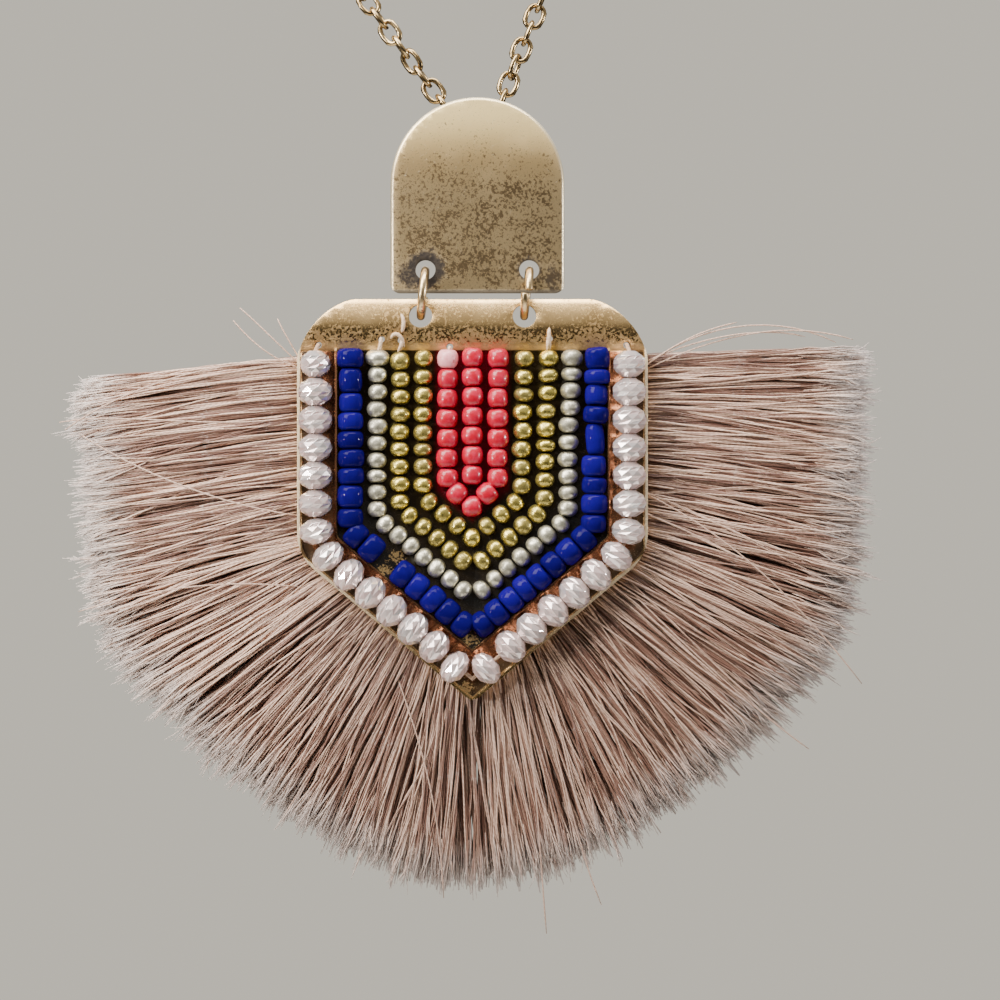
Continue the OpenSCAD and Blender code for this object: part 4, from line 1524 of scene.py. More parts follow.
@dataclass
class SeedBeads:
    """All rows of seed beads in the tray, and the column in the middle."""

    plan: ShieldPlan
    gap: float = 0.1
    sides: int = 20
    jitter: float = 0.06
    lean_spread: float = 3.0
    tilt_spread: float = 4.0
    lean_reach: float = 11.0
    column_count: int = 7
    column_pitch: float = 2.03
    column_diameter: float = 2.3
    column_start: float = 0.8
    column_jitter: float = 0.05
    seed: int = 11

    def rows(self) -> list[BeadRow]:
        """The rows from the outside inwards."""
        blue, silver, gold, pink = BeadKind.BLUE, BeadKind.SILVER, BeadKind.GOLD, BeadKind.PINK
        return [
            BeadRow(
                "blue_row", blue, 5.6, 2.8, 2.04, 0.8, tip=1.3, missing=(-12,), fill=(0.97, 1.0), lean=0.42,
                lengths={
                    -1: (1.0, 1.06), -2: (1.27, 0.92), -3: (1.0, 0.93), -4: (0.94, 1.0), -5: (0.94, 0.98),
                    -6: (0.94, 1.05), -7: (0.88, 1.03), -8: (1.2, 0.96), -11: (1.1, 1.03), 1: (1.17, 0.97),
                    2: (0.81, 1.02), 3: (1.12, 0.88), 4: (0.92, 0.98), 5: (1.68, 0.74), 6: (1.12, 0.96),
                    7: (0.92, 0.95), 8: (1.07, 1.0), 11: (1.15, 1.0), 14: (0.9, 1.04),
                },
            ),
            BeadRow(
                "silver_row", silver, 8.33, 2.14, 1.81, 2.5, starts=(0.85, 0.85), tip=1.25, fill=(0.88, 0.97),
                lean=0.5, lengths={
                    -1: (1.0, 1.22), 1: (1.0, 1.1), 2: (0.9, 1.1), 3: (1.0, 1.08), -8: (0.85, 1.0),
                    9: (0.85, 1.0),
                },
            ),
            BeadRow(
                "gold_outer_row", gold, 10.7, 2.1, 1.87, 2.0, starts=(1.2, 0.9), fill=(0.82, 0.95), lean=0.42,
                lengths={-1: (1.1, 1.06), 6: (0.8, 1.0), 2: (0.9, 1.04)},
            ),
            BeadRow(
                "gold_inner_row", gold, 13.1, 2.1, 1.88, 1.5, starts=(0.9, 0.95), tip=0.0, single_tip=True,
                fill=(0.80, 0.95), lean=0.3, lengths={-6: (0.8, 1.0), 3: (0.9, 1.05)},
            ),
            BeadRow(
                "pink_outer_row", pink, 15.6, 2.3, 2.03, 0.2, starts=(0.95, 0.9), tip=0.0, single_tip=True,
                pale=(-1,), lean=0.12,
            ),
        ]

    def bead(self, barrel: float, core: float = 0.19) -> Pattern:
        """One bead of unit diameter and unit length, its hole along Z.

        Args:
            barrel: How square its outline is, 0 for round and 1 for a barrel.
            core: Radius of its flat ends.

        Returns:
            The pattern.
        """
        half = []
        for angle in (90.0, 68.0, 46.0, 24.0, 0.0):
            a = math.radians(angle)
            power = 1.0 - 0.5 * barrel
            half.append((core + (0.5 - core) * math.cos(a) ** power, -0.5 * math.sin(a) ** power))
        upper = [(r, -z) for r, z in half[-2::-1]]
        bore = [(core - 0.03, 0.40), (core - 0.03, -0.40)]
        bm = spun([*half, *upper, *bore], self.sides)
        return Pattern.of(bm, lambda co: 1.0 if co.xy.length < 0.2 else 0.0)

    def row_places(self, row: BeadRow, rng: Rng) -> tuple[list[Matrix], list[float], list[float]]:
        """Where a row's beads sit.

        Args:
            row: The row.
            rng: Gives small differences between beads.

        Returns:
            A matrix, a tint and a paleness for each bead.
        """
        places: list[Matrix] = []
        pale: list[float] = []
        total = float(self.plan.path_length(row.inset, row.bend))
        for side in (-1, 1):
            start = row.starts[side > 0]
            stop = total - row.tip
            count = max(2, round((stop - start) / row.pitch) + 1)
            weights = np.array([row.lengths.get(side * (k + 1), (1.0, 1.0))[0] for k in range(count)])
            centres = np.concatenate([[0.0], np.cumsum((weights[1:] + weights[:-1]) / 2)])
            step = (stop - start) / centres[-1]
            centres = start + centres * step
            last = count - 1 if row.single_tip and side > 0 else count
            for k in range(last):
                number = side * (k + 1)
                if number in row.missing:
                    continue
                length, girth = row.lengths.get(number, (1.0, 1.0))
                x, z, heading = self.plan.along(row.inset, row.bend, centres[k])
                if row.single_tip and k == count - 1:
                    heading = np.float64(math.pi / 2)
                wide = row.diameter * girth * rng.uniform(0.94, 1.01)
                long = step * length * rng.uniform(*row.fill)
                if side > 0:
                    x = x + row.lean * max(0.0, 1.0 - float(centres[k]) / self.lean_reach)
                y = self.plan.face - self.gap - row.diameter / 2 + rng.uniform(-self.jitter, self.jitter)
                aside = rng.uniform(-self.jitter, self.jitter)
                spot = Vector((side * float(x) + aside, y, self.plan.top + float(z)))
                askew = math.radians(rng.normal(0, self.lean_spread))
                lean = Matrix.Rotation(side * float(heading) + askew, 4, "Y")
                tilt = Matrix.Rotation(math.radians(rng.normal(0, self.tilt_spread)), 4, "X")
                spin = Matrix.Rotation(rng.uniform(0, ANY_TURN), 4, "Z")
                size = Matrix.Diagonal((wide, wide, long, 1.0))
                places.append(Matrix.Translation(spot) @ lean @ tilt @ spin @ size)
                pale.append(1.0 if number in row.pale else 0.0)
        return places, list(rng.random(len(places))), pale

    def make(self) -> None:
        """Builds every row."""
        rng = np.random.default_rng(self.seed)
        materials = {finish.kind: finish.material() for finish in BEAD_FINISHES}
        shapes = {
            BeadKind.BLUE: self.bead(0.7),
            BeadKind.SILVER: self.bead(0.0, 0.13),
            BeadKind.GOLD: self.bead(0.0, 0.13),
            BeadKind.PINK: self.bead(0.25),
        }
        for row in self.rows():
            places, tint, pale = self.row_places(row, rng)
            mesh = shapes[row.kind].repeated(row.node, places, tint=tint, pale=pale)
            piece(f"{row.node}_beads", mesh, materials[row.kind], Body.DROP, [row.node])
        self.centre_column(rng, shapes[BeadKind.PINK], materials[BeadKind.PINK])

    def centre_column(self, rng: Rng, shape: Pattern, material: Material) -> None:
        """Builds the column of pink beads in the middle.

        Args:
            rng: Gives small differences between beads.
            shape: The bead.
            material: Its finish.
        """
        count, pitch, diameter, jitter = (
            self.column_count, self.column_pitch, self.column_diameter, self.column_jitter
        )
        top = self.plan.top - self.plan.bar - self.column_start
        places = []
        for k in range(count):
            y = self.plan.face - self.gap - diameter / 2 + rng.uniform(-jitter, jitter)
            spot = Vector((rng.uniform(-jitter, jitter), y, top - k * pitch))
            wide = diameter * rng.uniform(0.96, 1.0)
            size = Matrix.Diagonal((wide, wide, pitch * rng.uniform(0.94, 0.99), 1.0))
            tilt = Matrix.Rotation(math.radians(rng.normal(0, self.tilt_spread)), 4, "Y")
            spin = Matrix.Rotation(rng.uniform(0, ANY_TURN), 4, "Z")
            places.append(Matrix.Translation(spot) @ tilt @ spin @ size)
        mesh = shape.repeated("pink_centre_row", places, tint=rng.random(count), pale=np.zeros(count))
        piece("pink_centre_row_beads", mesh, material, Body.DROP, ["pink_centre_row"])


@dataclass
class Fringe:
    """The fan of silky threads behind the shield.

    length, root_inset: How far a thread reaches past the shield, and how far inside its edge it starts.
    head_t, gap, full: Thickness of the bound head, its distance from the shield, and the fan's fullness.
    plies, radius, yarn_r: Threads in a yarn, a thread's radius, and how far it lies from the yarn's middle.
    clumps, layers: How many clumps the yarns of a side fall into, and how many layers of them there are.
    frays, fray_r, stray_r: Number of frayed filaments, their radius, and a stray thread's radius.
    table: Share of the way to the tip, fall at the left and at the right in degrees, and share of the length.
    """

    plan: ShieldPlan
    length: float = 23.0
    root_inset: float = 2.6
    head_t: float = 2.0
    gap: float = 0.1
    full: float = 3.0
    front_yarns: int = 880
    back_yarns: int = 900
    plies: int = 2
    clumps: int = 36
    layers: int = 4
    rings: int = 10
    radius: float = 0.080
    yarn_r: float = 0.085
    frays: int = 2400
    fray_r: float = 0.048
    stray_r: float = 0.075
    seed: int = 23
    table: tuple[tuple[float, float, float, float], ...] = (
        (0.00, 6, -3, 1.00), (0.25, 5, 3, 0.98), (0.45, 14, 12, 0.975), (0.55, 28, 27, 0.955),
        (0.70, 46, 45, 0.935), (0.85, 67, 66, 0.93), (1.00, 91, 91, 0.91),
    )

    @property
    def head_front(self) -> float:
        """Depth of the front of the bound head."""
        return self.plan.face + self.plan.floor_t + self.gap

    def natural(self, share: np.ndarray, side: int) -> tuple[np.ndarray, np.ndarray]:
        """How a thread falls and reaches if nothing disturbs it.

        Args:
            share: Share of the way from the bar to the tip.
            side: -1 for the left side and 1 for the right side.

        Returns:
            The fall below level in radians and the reach in millimetres.
        """
        rows = np.array(self.table, float)
        fall = np.interp(share, rows[:, 0], rows[:, 1 if side < 0 else 2])
        reach = self.root_inset + self.length * np.interp(share, rows[:, 0], rows[:, 3])
        return np.radians(fall), reach

    def side_threads(self, side: int, front: bool, rng: Rng) -> dict[str, np.ndarray]:
        """Lays out the front or the back of one side: yarns of a few threads twisted round each other.

        Args:
            side: -1 for the left side and 1 for the right side.
            front: Whether these are the front yarns.
            rng: The source of every difference between threads.

        Returns:
            Lines, radii, tints and shares.
        """
        yarns, plies = (self.front_yarns if front else self.back_yarns), self.plies
        share = (np.arange(yarns) + rng.random(yarns)) / yarns
        depth = rng.random(yarns) ** 1.3 * 0.5 if front else rng.uniform(0.42, 1.0, yarns)
        level = np.clip((depth * self.layers).astype(int), 0, self.layers - 1)
        clump = np.clip((share * self.clumps + rng.normal(0, 0.22, yarns)).astype(int), 0, self.clumps - 1)
        clump = clump + self.clumps * level
        total = self.layers * self.clumps
        middle = (np.arange(total) % self.clumps + rng.uniform(0.25, 0.75, total)) / self.clumps
        clump_turn, clump_long = np.radians(rng.normal(0, 1.7, total)), 1.0 + rng.normal(-0.005, 0.02, total)
        clump_bend, clump_tint = rng.normal(0, 0.6, total), rng.random(total)
        bend = max(self.plan.side_r - self.root_inset, 0.5)
        inset = np.clip(self.root_inset - rng.uniform(0, 1.4, yarns), 1.0, None)
        path = self.plan.path_length(self.root_inset, bend)
        x, z, _ = self.plan.along(inset, bend, (0.012 + 0.988 * share) * path)
        natural, reach = self.natural(share, side)
        clump_fall, _ = self.natural(middle, side)
        loner = rng.random(yarns) < (0.18 if front else 0.06)
        centre = smooth((share - 0.92) / 0.06)
        fall = natural + (clump_fall[clump] - natural) * rng.uniform(0.15, 0.6, yarns) * (1 - 0.8 * centre)
        fall = fall + clump_turn[clump] * (1 - 0.7 * centre) + np.radians(rng.normal(0, 2.6, yarns)) * centre
        fall = fall + np.radians(rng.normal(0, 2.0, yarns) + np.where(loner, rng.normal(0, 6.0, yarns), 0))
        fall = np.maximum(fall, self.natural(np.zeros(1), side)[0] - math.radians(1.0))
        reach = reach * clump_long[clump] * (1.0 + rng.normal(-0.012, 0.026, yarns))
        reach = reach - (self.root_inset - inset)
        reach = np.minimum(reach, self.root_inset + self.length * 1.03)
        u = np.linspace(0, 1, self.rings) ** 0.9
        along = reach[:, None] * u
        swing = u * math.pi * rng.uniform(1.0, 2.6, yarns)[:, None]
        swing = swing + rng.uniform(0, ANY_TURN, yarns)[:, None]
        sideways = rng.normal(0, 0.28, yarns)[:, None] * np.sin(swing) * u
        sideways = sideways + (clump_bend[clump] + rng.normal(0, 0.3, yarns))[:, None] * u * u * 0.9
        sag = 0.9 * np.cos(fall)[:, None] * u * u
        dx, dz = np.cos(fall)[:, None], -np.sin(fall)[:, None]
        depth = np.where(loner & front, rng.uniform(-0.06, 0.08, yarns), depth)
        root_y = self.head_front + 0.15 + np.clip(depth, 0.02, 1) * (self.head_t - 0.3)
        head_middle = self.head_front + self.head_t / 2
        mid_y = head_middle + (depth - 0.5) * self.full * 0.9
        tip_y = head_middle + (depth - 0.5) * self.full * 0.75 + rng.normal(0, 0.15, yarns)
        py = root_y[:, None] + (mid_y - root_y)[:, None] * smooth(u / 0.45)
        py = py + (tip_y - mid_y)[:, None] * smooth((u - 0.55) / 0.45)

        def each(numbers: np.ndarray) -> np.ndarray:
            """The yarns' numbers, once for each of their threads."""
            return np.repeat(numbers, plies, axis=0)

        count = yarns * plies
        phase = np.tile(np.arange(plies) * math.tau / plies, yarns) + each(rng.uniform(0, ANY_TURN, yarns))
        twist = phase[:, None] + each(along) * each(rng.uniform(0.25, 0.8, yarns))[:, None]
        loose = 1 + 1.5 * smooth((u - 0.55) / 0.45)
        spread = self.yarn_r * each(rng.uniform(0.75, 1.25, yarns))[:, None] * loose
        sideways = each(sideways) + spread * np.cos(twist)
        long = each(along) * (1 + rng.normal(0, 0.012, count))[:, None]
        px = each(x[:, None]) + long * each(dx) - sideways * each(dz)
        pz = each(z[:, None]) + long * each(dz) + sideways * each(dx) - each(sag)
        lines = np.stack([side * px, each(py) + spread * np.sin(twist) * 0.8, self.plan.top + pz], axis=2)
        size = self.radius * rng.uniform(0.75, 1.3, count) * (1.0 if front else 1.2)
        radii = size[:, None] * (1.0 - 0.5 * smooth((u - 0.92) / 0.08)) * (0.85 + 0.15 * smooth(u / 0.1))
        # Painted light in the tint: deeper yarns are made darker and loose front threads lighter, on top of a
        # random tone
        shine = 0.30 * clump_tint[clump] + 0.30 * rng.random(yarns) + np.where(loner, 0.12, 0.0)
        tint = np.clip(each(shine - depth * 0.40) + rng.uniform(0.0, 0.6, count), 0, 1)
        return {"lines": lines, "radii": radii, "tint": tint, "u": u}

    def fray(self, base: dict[str, np.ndarray], rng: Rng) -> dict[str, np.ndarray]:
        """Fine filaments that part from the threads near their cut ends.

        Args:
            base: The threads that they part from.
            rng: The source of every difference between filaments.

        Returns:
            Lines, radii, tints and shares.
        """
        lines = base["lines"]
        pick = rng.integers(0, len(lines), self.frays)
        end = lines[pick, -1]
        way = end - lines[pick, -4]
        way /= np.linalg.norm(way, axis=1, keepdims=True)
        start = end - way * rng.uniform(1.5, 6.0, self.frays)[:, None]
        off = rng.normal(0, 1, (self.frays, 3)) * np.array([1.0, 0.7, 1.0])
        off -= way * np.sum(off * way, axis=1, keepdims=True)
        reach = rng.uniform(0.75, 1.2, self.frays)[:, None]
        u = np.array([0.0, 0.4, 0.75, 1.0])
        path = start[:, None] + (end - start)[:, None] * (u[None, :, None] * reach[:, None])
        apart = rng.uniform(0.12, 0.65, self.frays)[:, None, None]
        path = path + off[:, None] * (u ** 2)[None, :, None] * apart
        radii = np.full((self.frays, len(u)), self.fray_r) * np.array([1.0, 1.0, 0.85, 0.45])
        return {"lines": path, "radii": radii, "tint": rng.uniform(0.5, 1.0, self.frays), "u": 0.8 + 0.2 * u}

    def strays(self) -> dict[str, np.ndarray]:
        """The few long threads that lie across the others or stand away from them.

        Returns:
            Lines, radii, tints and shares.
        """
        front = self.head_front - 1.35
        paths = (
            ((5.0, -38.0), (6.6, -48.0), (7.0, -58.0), (7.7, -66.0)),
            ((-17.6, -6.8), (-26.0, -5.6), (-37.0, -9.5), (-42.4, -13.6)),
            ((-41.6, -13.6), (-35.0, -18.0), (-26.0, -21.5), (-18.2, -22.5)),
            ((17.9, -7.0), (23.7, -2.2), (32.0, -1.5), (37.8, -4.5)),
            ((17.8, -7.4), (25.8, -3.4), (33.1, -2.2), (39.6, -4.2)),
            ((17.8, -6.6), (22.7, -4.2), (29.9, -2.6), (34.6, -3.9)),
            ((17.6, -7.2), (21.8, -4.0), (24.5, -3.1), (27.5, -2.4)),
            ((-17.7, -6.9), (-18.6, -5.0), (-19.7, -3.4), (-20.3, -2.0)),
            ((-17.7, -7.0), (-19.6, -5.3), (-21.9, -2.9), (-24.2, -0.9)),
            ((-17.7, -7.2), (-21.0, -6.4), (-23.5, -3.9), (-24.9, -2.2)),
            ((-8.0, -39.0), (-4.6, -48.0), (-3.4, -54.0), (-3.0, -62.3)),
            ((6.0, -39.0), (9.5, -48.0), (10.5, -56.0), (13.4, -63.0)),
            ((17.6, -20.0), (27.0, -24.5), (34.0, -31.5), (40.5, -40.0)),
            ((-17.6, -30.0), (-26.0, -29.0), (-33.0, -30.0), (-41.0, -32.5)),
            ((16.6, -30.5), (24.0, -38.0), (31.0, -44.0), (35.0, -46.8)),
            ((-17.7, -12.0), (-26.0, -14.0), (-36.0, -11.5), (-43.0, -12.8)),
        )
        u = np.linspace(0, 1, 14)
        lift = np.interp(u, [0, 0.12, 0.5, 1], [self.head_front + 0.15, front + 0.6, front, front + 0.3])
        flats = [curved(path, u) for path in paths]
        lines = np.array([np.stack([flat[:, 0], lift, self.plan.top + flat[:, 1]], axis=1) for flat in flats])
        radii = np.full(lines.shape[:2], self.stray_r)
        radii[:, -1] = 0.04
        return {"lines": lines, "radii": radii, "tint": np.full(len(lines), 0.7), "u": 0.3 + 0.5 * u}

    @staticmethod
    def dress(name: str, threads: dict[str, np.ndarray], silk: Material) -> None:
        """Sweeps threads into one piece of the fringe.

        Args:
            name: The piece's name.
            threads: Lines, radii, tints and shares.
            silk: Their finish.
        """
        count, rings = threads["radii"].shape
        tint = np.repeat(threads["tint"][:, None], rings, axis=1)
        values = {"tint": tint, "share": np.broadcast_to(threads["u"], (count, rings))}
        mesh = tubes(name, threads["lines"], threads["radii"], values)
        piece(name, mesh, silk, Body.DROP, ["fringe"])

    def backing(self) -> Mesh:
        """The felt behind the shield that the threads are sewn to.

        Returns:
            The mesh.
        """
        inset, bend = self.root_inset - 0.8, 3.2
        top = -self.plan.bar - 0.6
        steps = np.linspace(-top - self.plan.bar, float(self.plan.path_length(inset, bend)), 26)
        x, z, _ = self.plan.along(inset, bend, steps)
        outline = [(float(a), float(b)) for a, b in zip(x, z)]
        outline = outline[:-1] + [(0.0, self.plan.apex(inset))] + [(-a, b) for a, b in outline[-2::-1]]
        bm = bmesh.new()
        face = bm.faces.new([bm.verts.new((a, self.head_front, self.plan.top + b)) for a, b in outline])
        made = bmesh.ops.extrude_face_region(bm, geom=[face])
        moved = [v for v in made["geom"] if isinstance(v, bmesh.types.BMVert)]
        bmesh.ops.translate(bm, verts=moved, vec=(0, self.head_t, 0))
        bmesh.ops.recalc_face_normals(bm, faces=bm.faces)
        return published(bevelled(bm, 0.5, 3, 50.0), "fringe_backing", 50.0)

    def make(self) -> None:
        """Builds the fringe."""
        rng = np.random.default_rng(self.seed)
        silk = SilkFinish().material()
        for side, word in SIDES:
            threads = self.side_threads(side, True, rng)
            self.dress(f"fringe_{word}_front", threads, silk)
            self.dress(f"frayed_ends_{word}", self.fray(threads, rng), silk)
            self.dress(f"fringe_{word}_back", self.side_threads(side, False, rng), silk)
        self.dress("stray_threads", self.strays(), silk)
        felt = FeltFinish().material()
        piece("fringe_backing", self.backing(), felt, Body.DROP, ["fringe"])


@dataclass
class Chain:
    """The two strands of fine oval links, each link at a right angle to the next.

    wire, long, wide, pitch: The links' wire, length and width, and the distance from link to link.
    lean: How far each strand leans from upright where it leaves the plaque, in degrees.
    play: Room between a last link and the ring that it hangs in.
    end_ring, clasp_ring: Radius to the middle of the wire, and radius of the wire.
    eye_ring, eye_x: The same for the small ring in the clasp's eye, and X of its middle.
    clasp_ring_end: X of the middle of the clasp ring's wire at its far side.
    left, right: Points that each strand passes, from the nape to the plaque.
    """

    wire: float = 0.54
    long: float = 3.05
    wide: float = 2.3
    pitch: float = 1.93
    route_steps: int = 24
    lean: Pair = (36.0, 20.0)
    play: float = 0.03
    end_ring: Pair = (1.45, 0.3)
    eye_ring: Pair = (1.45, 0.25)
    eye_x: float = -9.35
    clasp_ring_end: float = 5.15
    clasp_ring_wire: float = 0.35
    seed: int = 31
    left: tuple[Triple, ...] = (
        (-22, -2.5, -1.5), (-37, -10.5, -5), (-49.5, -23.5, -11), (-57.5, -40.5, -19.5), (-60, -59, -30.5),
        (-58, -76, -44), (-52.5, -92.5, -64.5), (-45, -105, -87), (-37, -114.5, -110.5),
        (-26.5, -121, -134.5), (-14, -125, -155),
    )
    right: tuple[Triple, ...] = (
        (20, -2.5, -1.5), (36, -10, -5), (49, -23, -11), (57.5, -40.5, -19.5), (60, -59, -30.5),
        (57.5, -76, -44), (51.5, -92.5, -65), (41.5, -105, -88), (29.5, -115, -112), (17.5, -121.5, -136),
        (7.7, -125.5, -158),
    )

    def link(self) -> Pattern:
        """One oval link in the XY plane, long along X.

        Returns:
            The pattern.
        """
        radius = (self.wide - self.wire) / 2
        stretch = (self.long - self.wide) / 2
        bm = spun(wire_profile(radius, self.wire / 2, 8), 16)
        for v in bm.verts:
            if abs(v.co.x) > 1e-4:
                v.co.x += math.copysign(stretch * min(1.0, abs(v.co.x) / (radius * 0.5)), v.co.x)
        reach = self.wide / 2
        return Pattern.of(
            bm, lambda co: max(0.0, 1.0 - math.hypot(co.y, max(0.0, abs(co.x) - stretch)) / reach)
        )

    def route(self, start: Vector, points: Sequence[Sequence[float]], end: Vector) -> np.ndarray:
        """A smooth curve through the route's points, cut in even steps of the pitch.

        Args:
            start: Centre of the first link.
            points: The route's chosen points.
            end: Centre of the last link.

        Returns:
            Centres of an even number of links.
        """
        knots = np.array([tuple(start), *points, tuple(end)], float)
        padded = np.concatenate([knots[:1], knots, knots[-1:]])
        t = np.linspace(0, 1, self.route_steps, endpoint=False)[:, None]
        fine = []
        for k in range(len(knots) - 1):
            a, b, c, d = padded[k:k + 4]
            square, cube = 2 * a - 5 * b + 4 * c - d, 3 * b - a - 3 * c + d
            fine.append(0.5 * (2 * b + (c - a) * t + square * t * t + cube * t ** 3))
        curve = np.concatenate([*fine, knots[-1:]])
        steps = np.concatenate([[0.0], np.cumsum(np.linalg.norm(np.diff(curve, axis=0), axis=1))])
        count = 2 * round(steps[-1] / self.pitch / 2)
        even = np.linspace(0, steps[-1], count)
        return np.stack([np.interp(even, steps, curve[:, k]) for k in range(3)], axis=1)

    def strand(self, name: str, node: str, centres: np.ndarray, material: Material, rng: Rng) -> None:
        """Builds one strand.

        Args:
            name: The piece's name.
            node: The node that it replaces.
            centres: Centres of its links.
            material: Its finish.
            rng: Gives each link its own small turn and tone.
        """
        places = []
        forward = Vector((0, 1, 0))
        for k, centre in enumerate(centres):
            a, b = centres[max(k - 1, 0)], centres[min(k + 1, len(centres) - 1)]
            along = Vector(b - a).normalized()
            across = (forward - along * forward.dot(along)).normalized()
            aside = along.cross(across)
            ends = min(k, len(centres) - 1 - k)
            angle = math.radians(rng.normal(0, 13)) if ends > 1 else 0.0
            first, second = (aside, across) if k % 2 == 0 else (across, aside)
            flat = first * math.cos(angle) + second * math.sin(angle)
            normal = second * math.cos(angle) - first * math.sin(angle)
            sway = math.radians(rng.normal(0, 3)) if ends > 1 else 0.0
            turned = Matrix((along, flat, along.cross(flat))).transposed()
            frame = Matrix.Rotation(sway, 3, normal) @ turned
            places.append(Matrix.Translation(centre) @ frame.to_4x4())
        mesh = self.link().repeated(node, places, tint=rng.random(len(places)))
        piece(name, mesh, material, Body.ROOT, [node])

    def make(self) -> None:
        """Builds both strands and the small ring in the clasp's eye."""
        rng = np.random.default_rng(self.seed)
        gold = LinkGold().material()
        reach, half_wire = (self.long - self.wire) / 2, self.wire / 2
        hung = self.end_ring[0] - self.end_ring[1] - half_wire - self.play + reach
        eye_start = self.eye_x - self.eye_ring[0] + self.eye_ring[1] + half_wire - reach
        clasp_start = self.clasp_ring_end - self.clasp_ring_wire - half_wire - self.play + reach
        strands = zip(SIDES, self.lean, (eye_start, clasp_start), (self.left, self.right))
        for (side, word), lean, start, points in strands:
            end = node_centre(f"end_ring_{word}") + strand_way(side, lean) * hung
            centres = self.route(Vector((start, 0, 0)), points, end)
            self.strand(f"chain_links_{word}", f"chain_{word}", centres, gold, rng)
        bm = spun(wire_profile(*self.eye_ring, 10), 40)
        bmesh.ops.translate(bm, verts=bm.verts, vec=(self.eye_x, 0, 0))
        mesh = published(bm, "clasp_eye_ring")
        piece("clasp_eye_ring", mesh, WireGold().material(), Body.ROOT, ["chain_left"])


def strand_way(side: int, lean: float) -> Vector:
    """Direction of a strand where it leaves the plaque.

    Args:
        side: -1 for the left strand and 1 for the right one.
        lean: Its lean away from upright in degrees.

    Returns:
        A unit vector.
    """
    return Vector((side * math.sin(math.radians(lean)), 0.0, math.cos(math.radians(lean))))


def node_centre(node: str) -> Vector:
    """The middle of a node's box in millimetres."""
    low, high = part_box(node)
    return (low + high) / 2 / MM


@dataclass
class Findings:
    """The end rings, the clasp and its ring."""

    metal: MetalWork
    bevels: tuple[tuple[str, float], ...] = (
        ("end_ring_left", 0.0), ("end_ring_right", 0.0), ("clasp_ring", 0.0), ("clasp", 0.35),
    )

    def make(self) -> None:
        """Builds each finding."""
        gold = WireGold(name="finding_gold").material()
        for node, width in self.bevels:
            mesh = published(self.metal.merged(node, width, 3, 50.0), node, METAL_SMOOTH)
            piece(f"{node}_metal", mesh, gold, Body.ROOT, [node])


@dataclass
class ThreadTails:
    """The ends and loops of beading thread that show on the bar, and the stones' own thread, dark brown as a
    painted shadow.
    """

    plan: ShieldPlan
    nodes: dict[str, Object]
    radius: float = 0.2

    def make(self) -> None:
        """Builds the threads."""
        cream = ThreadFinish().material()
        slots = self.nodes["stone_thread"].data.materials
        slots.clear()
        # Painted shadow: the stones' thread is given a dark brown, as it lies in the shade between the stones
        slots.append(ThreadFinish(name="stone_thread_finish", colour=(0.30, 0.19, 0.13)).material())
        top, face = self.plan.top, self.plan.face
        # Each loop: four corners of its curve, as X and height, and how far it stands up
        loops = (
            ((-9.55, -3.9), (-9.4, -4.5), (-9.6, -5.2), (-9.9, -5.75), 0.75),
            ((-7.5, -4.2), (-7.2, -4.6), (-7.4, -5.1), (-7.75, -5.5), 0.8),
            ((-8.5, -4.3), (-8.2, -3.2), (-7.3, -3.6), (-7.1, -5.0), 0.7),
            ((-7.4, -3.6), (-7.0, -2.9), (-7.1, -2.0), (-7.4, -1.6), 0.5),
            ((-2.4, -4.9), (-2.3, -5.1), (-2.35, -5.3), (-2.5, -5.6), 0.8),
            ((8.0, -2.9), (7.85, -3.7), (8.05, -4.6), (7.95, -5.5), 1.0),
            ((7.9, -4.1), (7.8, -4.5), (7.9, -5.0), (7.8, -5.4), 0.8),
        )
        u = np.linspace(0, 1, 9)
        lines, radii = [], []
        for *corners, lift in loops:
            flat = curved(corners, u)
            share = np.clip(-flat[:, 1] / self.plan.bar, 0, 1)
            over = 0.2 + 0.25 * share + 0.65 * np.sin(share * math.pi)
            y = face - over - 0.05 - lift * 0.45 * np.sin(u * math.pi)
            y[0] = face - over[0] + 0.3
            lines.append(np.stack([flat[:, 0], y, top + flat[:, 1]], axis=1))
            radii.append(self.radius * np.interp(u, [0.0, 0.2, 0.8, 1.0], [0.3, 1.0, 1.0, 0.5]))
        values = {"tint": np.zeros((len(lines), len(u)))}
        mesh = tubes("thread_tails", np.array(lines), np.array(radii), values)
        piece("thread_tails", mesh, cream, Body.DROP)


@dataclass
class Lamp:
    """One soft area light: its name, place, two sides, power in watts and colour."""

    name: str
    place: Triple
    size: Pair
    power: float
    tint: Colour

    def make(self, aim: Vector) -> None:
        """Adds the light, pointed at a place in millimetres."""
        light = bpy.data.lights.new(self.name, "AREA")
        light.shape, light.size, light.size_y = "RECTANGLE", self.size[0] * MM, self.size[1] * MM
        light.energy, light.color = self.power, self.tint
        obj = placed(self.name, light)
        obj.location = Vector(self.place) * MM
        obj.rotation_euler = (aim - Vector(self.place)).to_track_quat("-Z", "Y").to_euler()


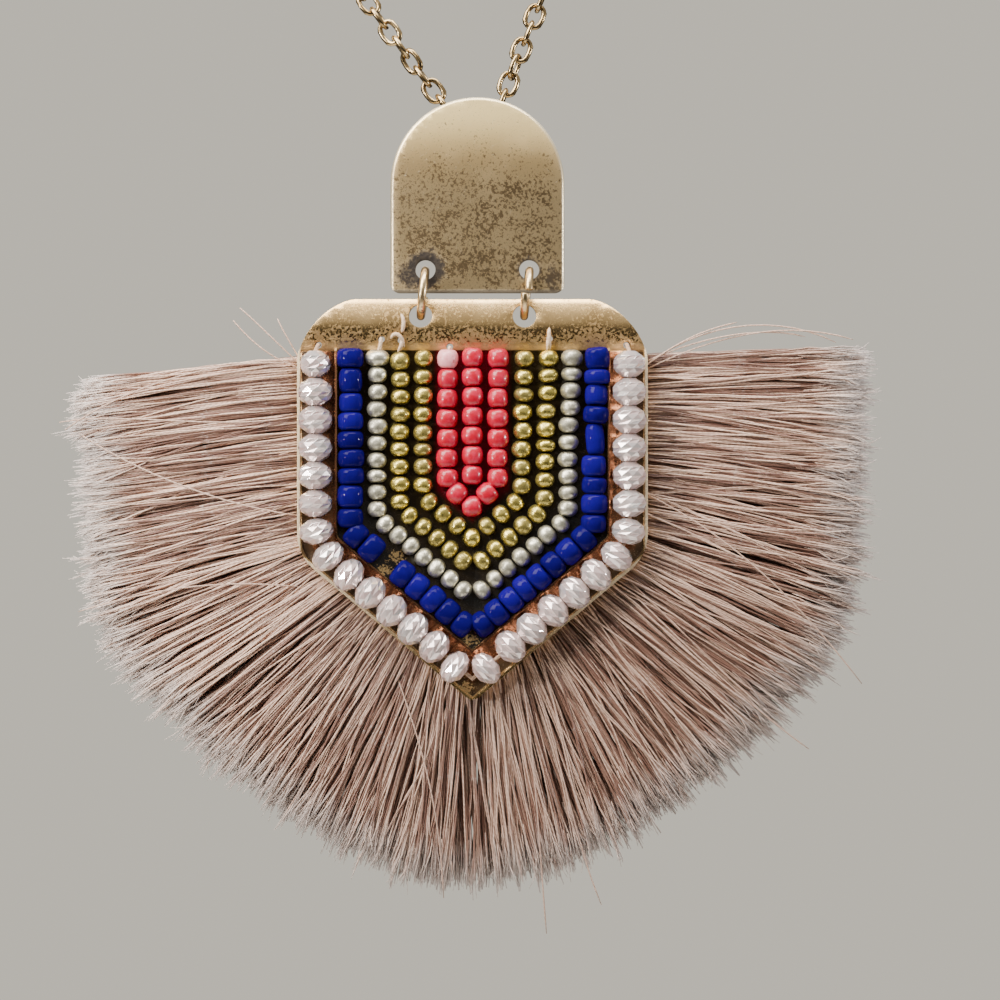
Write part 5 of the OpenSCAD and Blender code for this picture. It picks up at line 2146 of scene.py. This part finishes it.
@dataclass
class Studio:
    """The camera at the photograph's viewing angle, soft lights, a pale world and a pale floor.

    eye, aim: The camera's place, and what the lights point at.
    floor_z, floor_r, floor_y: Height, radius and depth of the floor's middle.
    ambient, shaded: Strength of the world's light, and its share that is left in the dark patch.
    backdrop: What the camera sees behind the necklace.
    flag, flag_edge: The dark patch's direction, and the cosines between which it fades in.
    sky: The world's colours, from straight down to straight up.
    """

    eye: Vector = field(default_factory=lambda: Vector((2.86, -410.0, -211.66)))
    aim: Vector = field(default_factory=lambda: Vector((0.0, -128.0, -205.0)))
    lens: float = 97.46
    floor_z: float = -450.0
    floor_r: float = 330.0
    floor_y: float = -60.0
    ambient: float = 0.44
    shaded: float = 0.15
    backdrop: Colour = (0.66, 0.62, 0.53)
    flag: Triple = (0.0, -0.954, -0.30)
    flag_edge: Pair = (0.84, 0.96)
    sky: tuple[tuple[float, Colour], ...] = (
        (0.0, (0.08, 0.07, 0.06)), (0.48, (0.16, 0.14, 0.12)), (0.52, (0.34, 0.32, 0.29)),
        (0.6, (0.92, 0.90, 0.86)), (1.0, (1.0, 0.99, 0.97)),
    )
    lamps: tuple[Lamp, ...] = (
        Lamp("key", (-330.0, -430.0, 150.0), (340.0, 340.0), 6.6, (1.0, 0.96, 0.90)),
        Lamp("over", (40.0, -270.0, 220.0), (420.0, 220.0), 3.6, (1.0, 0.98, 0.95)),
        Lamp("left", (-400.0, -410.0, -190.0), (24.0, 36.0), 1.3, (1.0, 0.98, 0.95)),
        Lamp("right", (470.0, -215.0, -185.0), (22.0, 36.0), 1.1, (0.97, 0.98, 1.0)),
        Lamp("rear", (0.0, 260.0, 60.0), (400.0, 300.0), 0.5, (1.0, 1.0, 1.0)),
    )

    def world(self) -> None:
        """A pale world that is brighter above than below, with a dark patch round the camera."""
        world = bpy.data.worlds.new("studio")
        bpy.context.scene.world = world
        g = SkyGraph(world)
        way = g.node("ShaderNodeTexCoord", out="Generated")
        colour = g.ramp(g.split(way)[2] * 0.5 + 0.5, self.sky)
        dot = {"operation": "DOT_PRODUCT"}
        toward = g.node("ShaderNodeVectorMath", dot, {0: way, 1: self.flag}, "Value")
        strength = (1.0 - toward.rise(*self.flag_edge) * (1.0 - self.shaded)) * self.ambient
        soft = g.node("ShaderNodeBackground", None, {0: colour, 1: strength})
        pale = g.node("ShaderNodeBackground", None, {0: self.backdrop})
        seen = g.node("ShaderNodeLightPath", out="Is Camera Ray")
        g.show(g.node("ShaderNodeMixShader", None, {0: seen, 1: soft, 2: pale}))

    def floor(self) -> None:
        """The round pale floor."""
        bm = bmesh.new()
        bmesh.ops.create_circle(bm, cap_ends=True, radius=self.floor_r, segments=96)
        bmesh.ops.translate(bm, verts=bm.verts, vec=(0, self.floor_y, self.floor_z))
        obj = placed("pale_floor", published(bm, "pale_floor"))
        obj.data.materials.append(StagePaint().material())

    def make(self) -> None:
        """Builds the studio."""
        self.world()
        self.floor()
        for lamp in self.lamps:
            lamp.make(self.aim)
        data = bpy.data.cameras.new("camera")
        data.lens = self.lens
        data.clip_start, data.clip_end = 0.01, 10.0
        camera = placed("camera", data)
        camera.location = self.eye * MM
        camera.rotation_euler = (math.pi / 2, 0.0, 0.0)
        bpy.context.scene.camera = camera


def main() -> None:
    """Builds the necklace in order and reports each piece."""
    logging.basicConfig(level=logging.INFO, format="%(message)s")
    for obj in list(bpy.data.objects):
        bpy.data.objects.remove(obj)
    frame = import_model()
    nodes = frame["nodes"]
    _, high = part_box("shield")
    plan = ShieldPlan(top=high.z / MM, face=high.y / MM - ShieldPlan.floor_t)
    metal = MetalWork(nodes)
    Studio().make()
    Plaque(metal, node_centre("plaque").x).make()
    JumpRings().make()
    Shield(metal, plan).make()
    GlassStones(plan).make()
    SeedBeads(plan).make()
    ThreadTails(plan, nodes).make()
    Fringe(plan).make()
    Chain().make()
    Findings(metal).make()


if __name__ == "__main__":
    main()
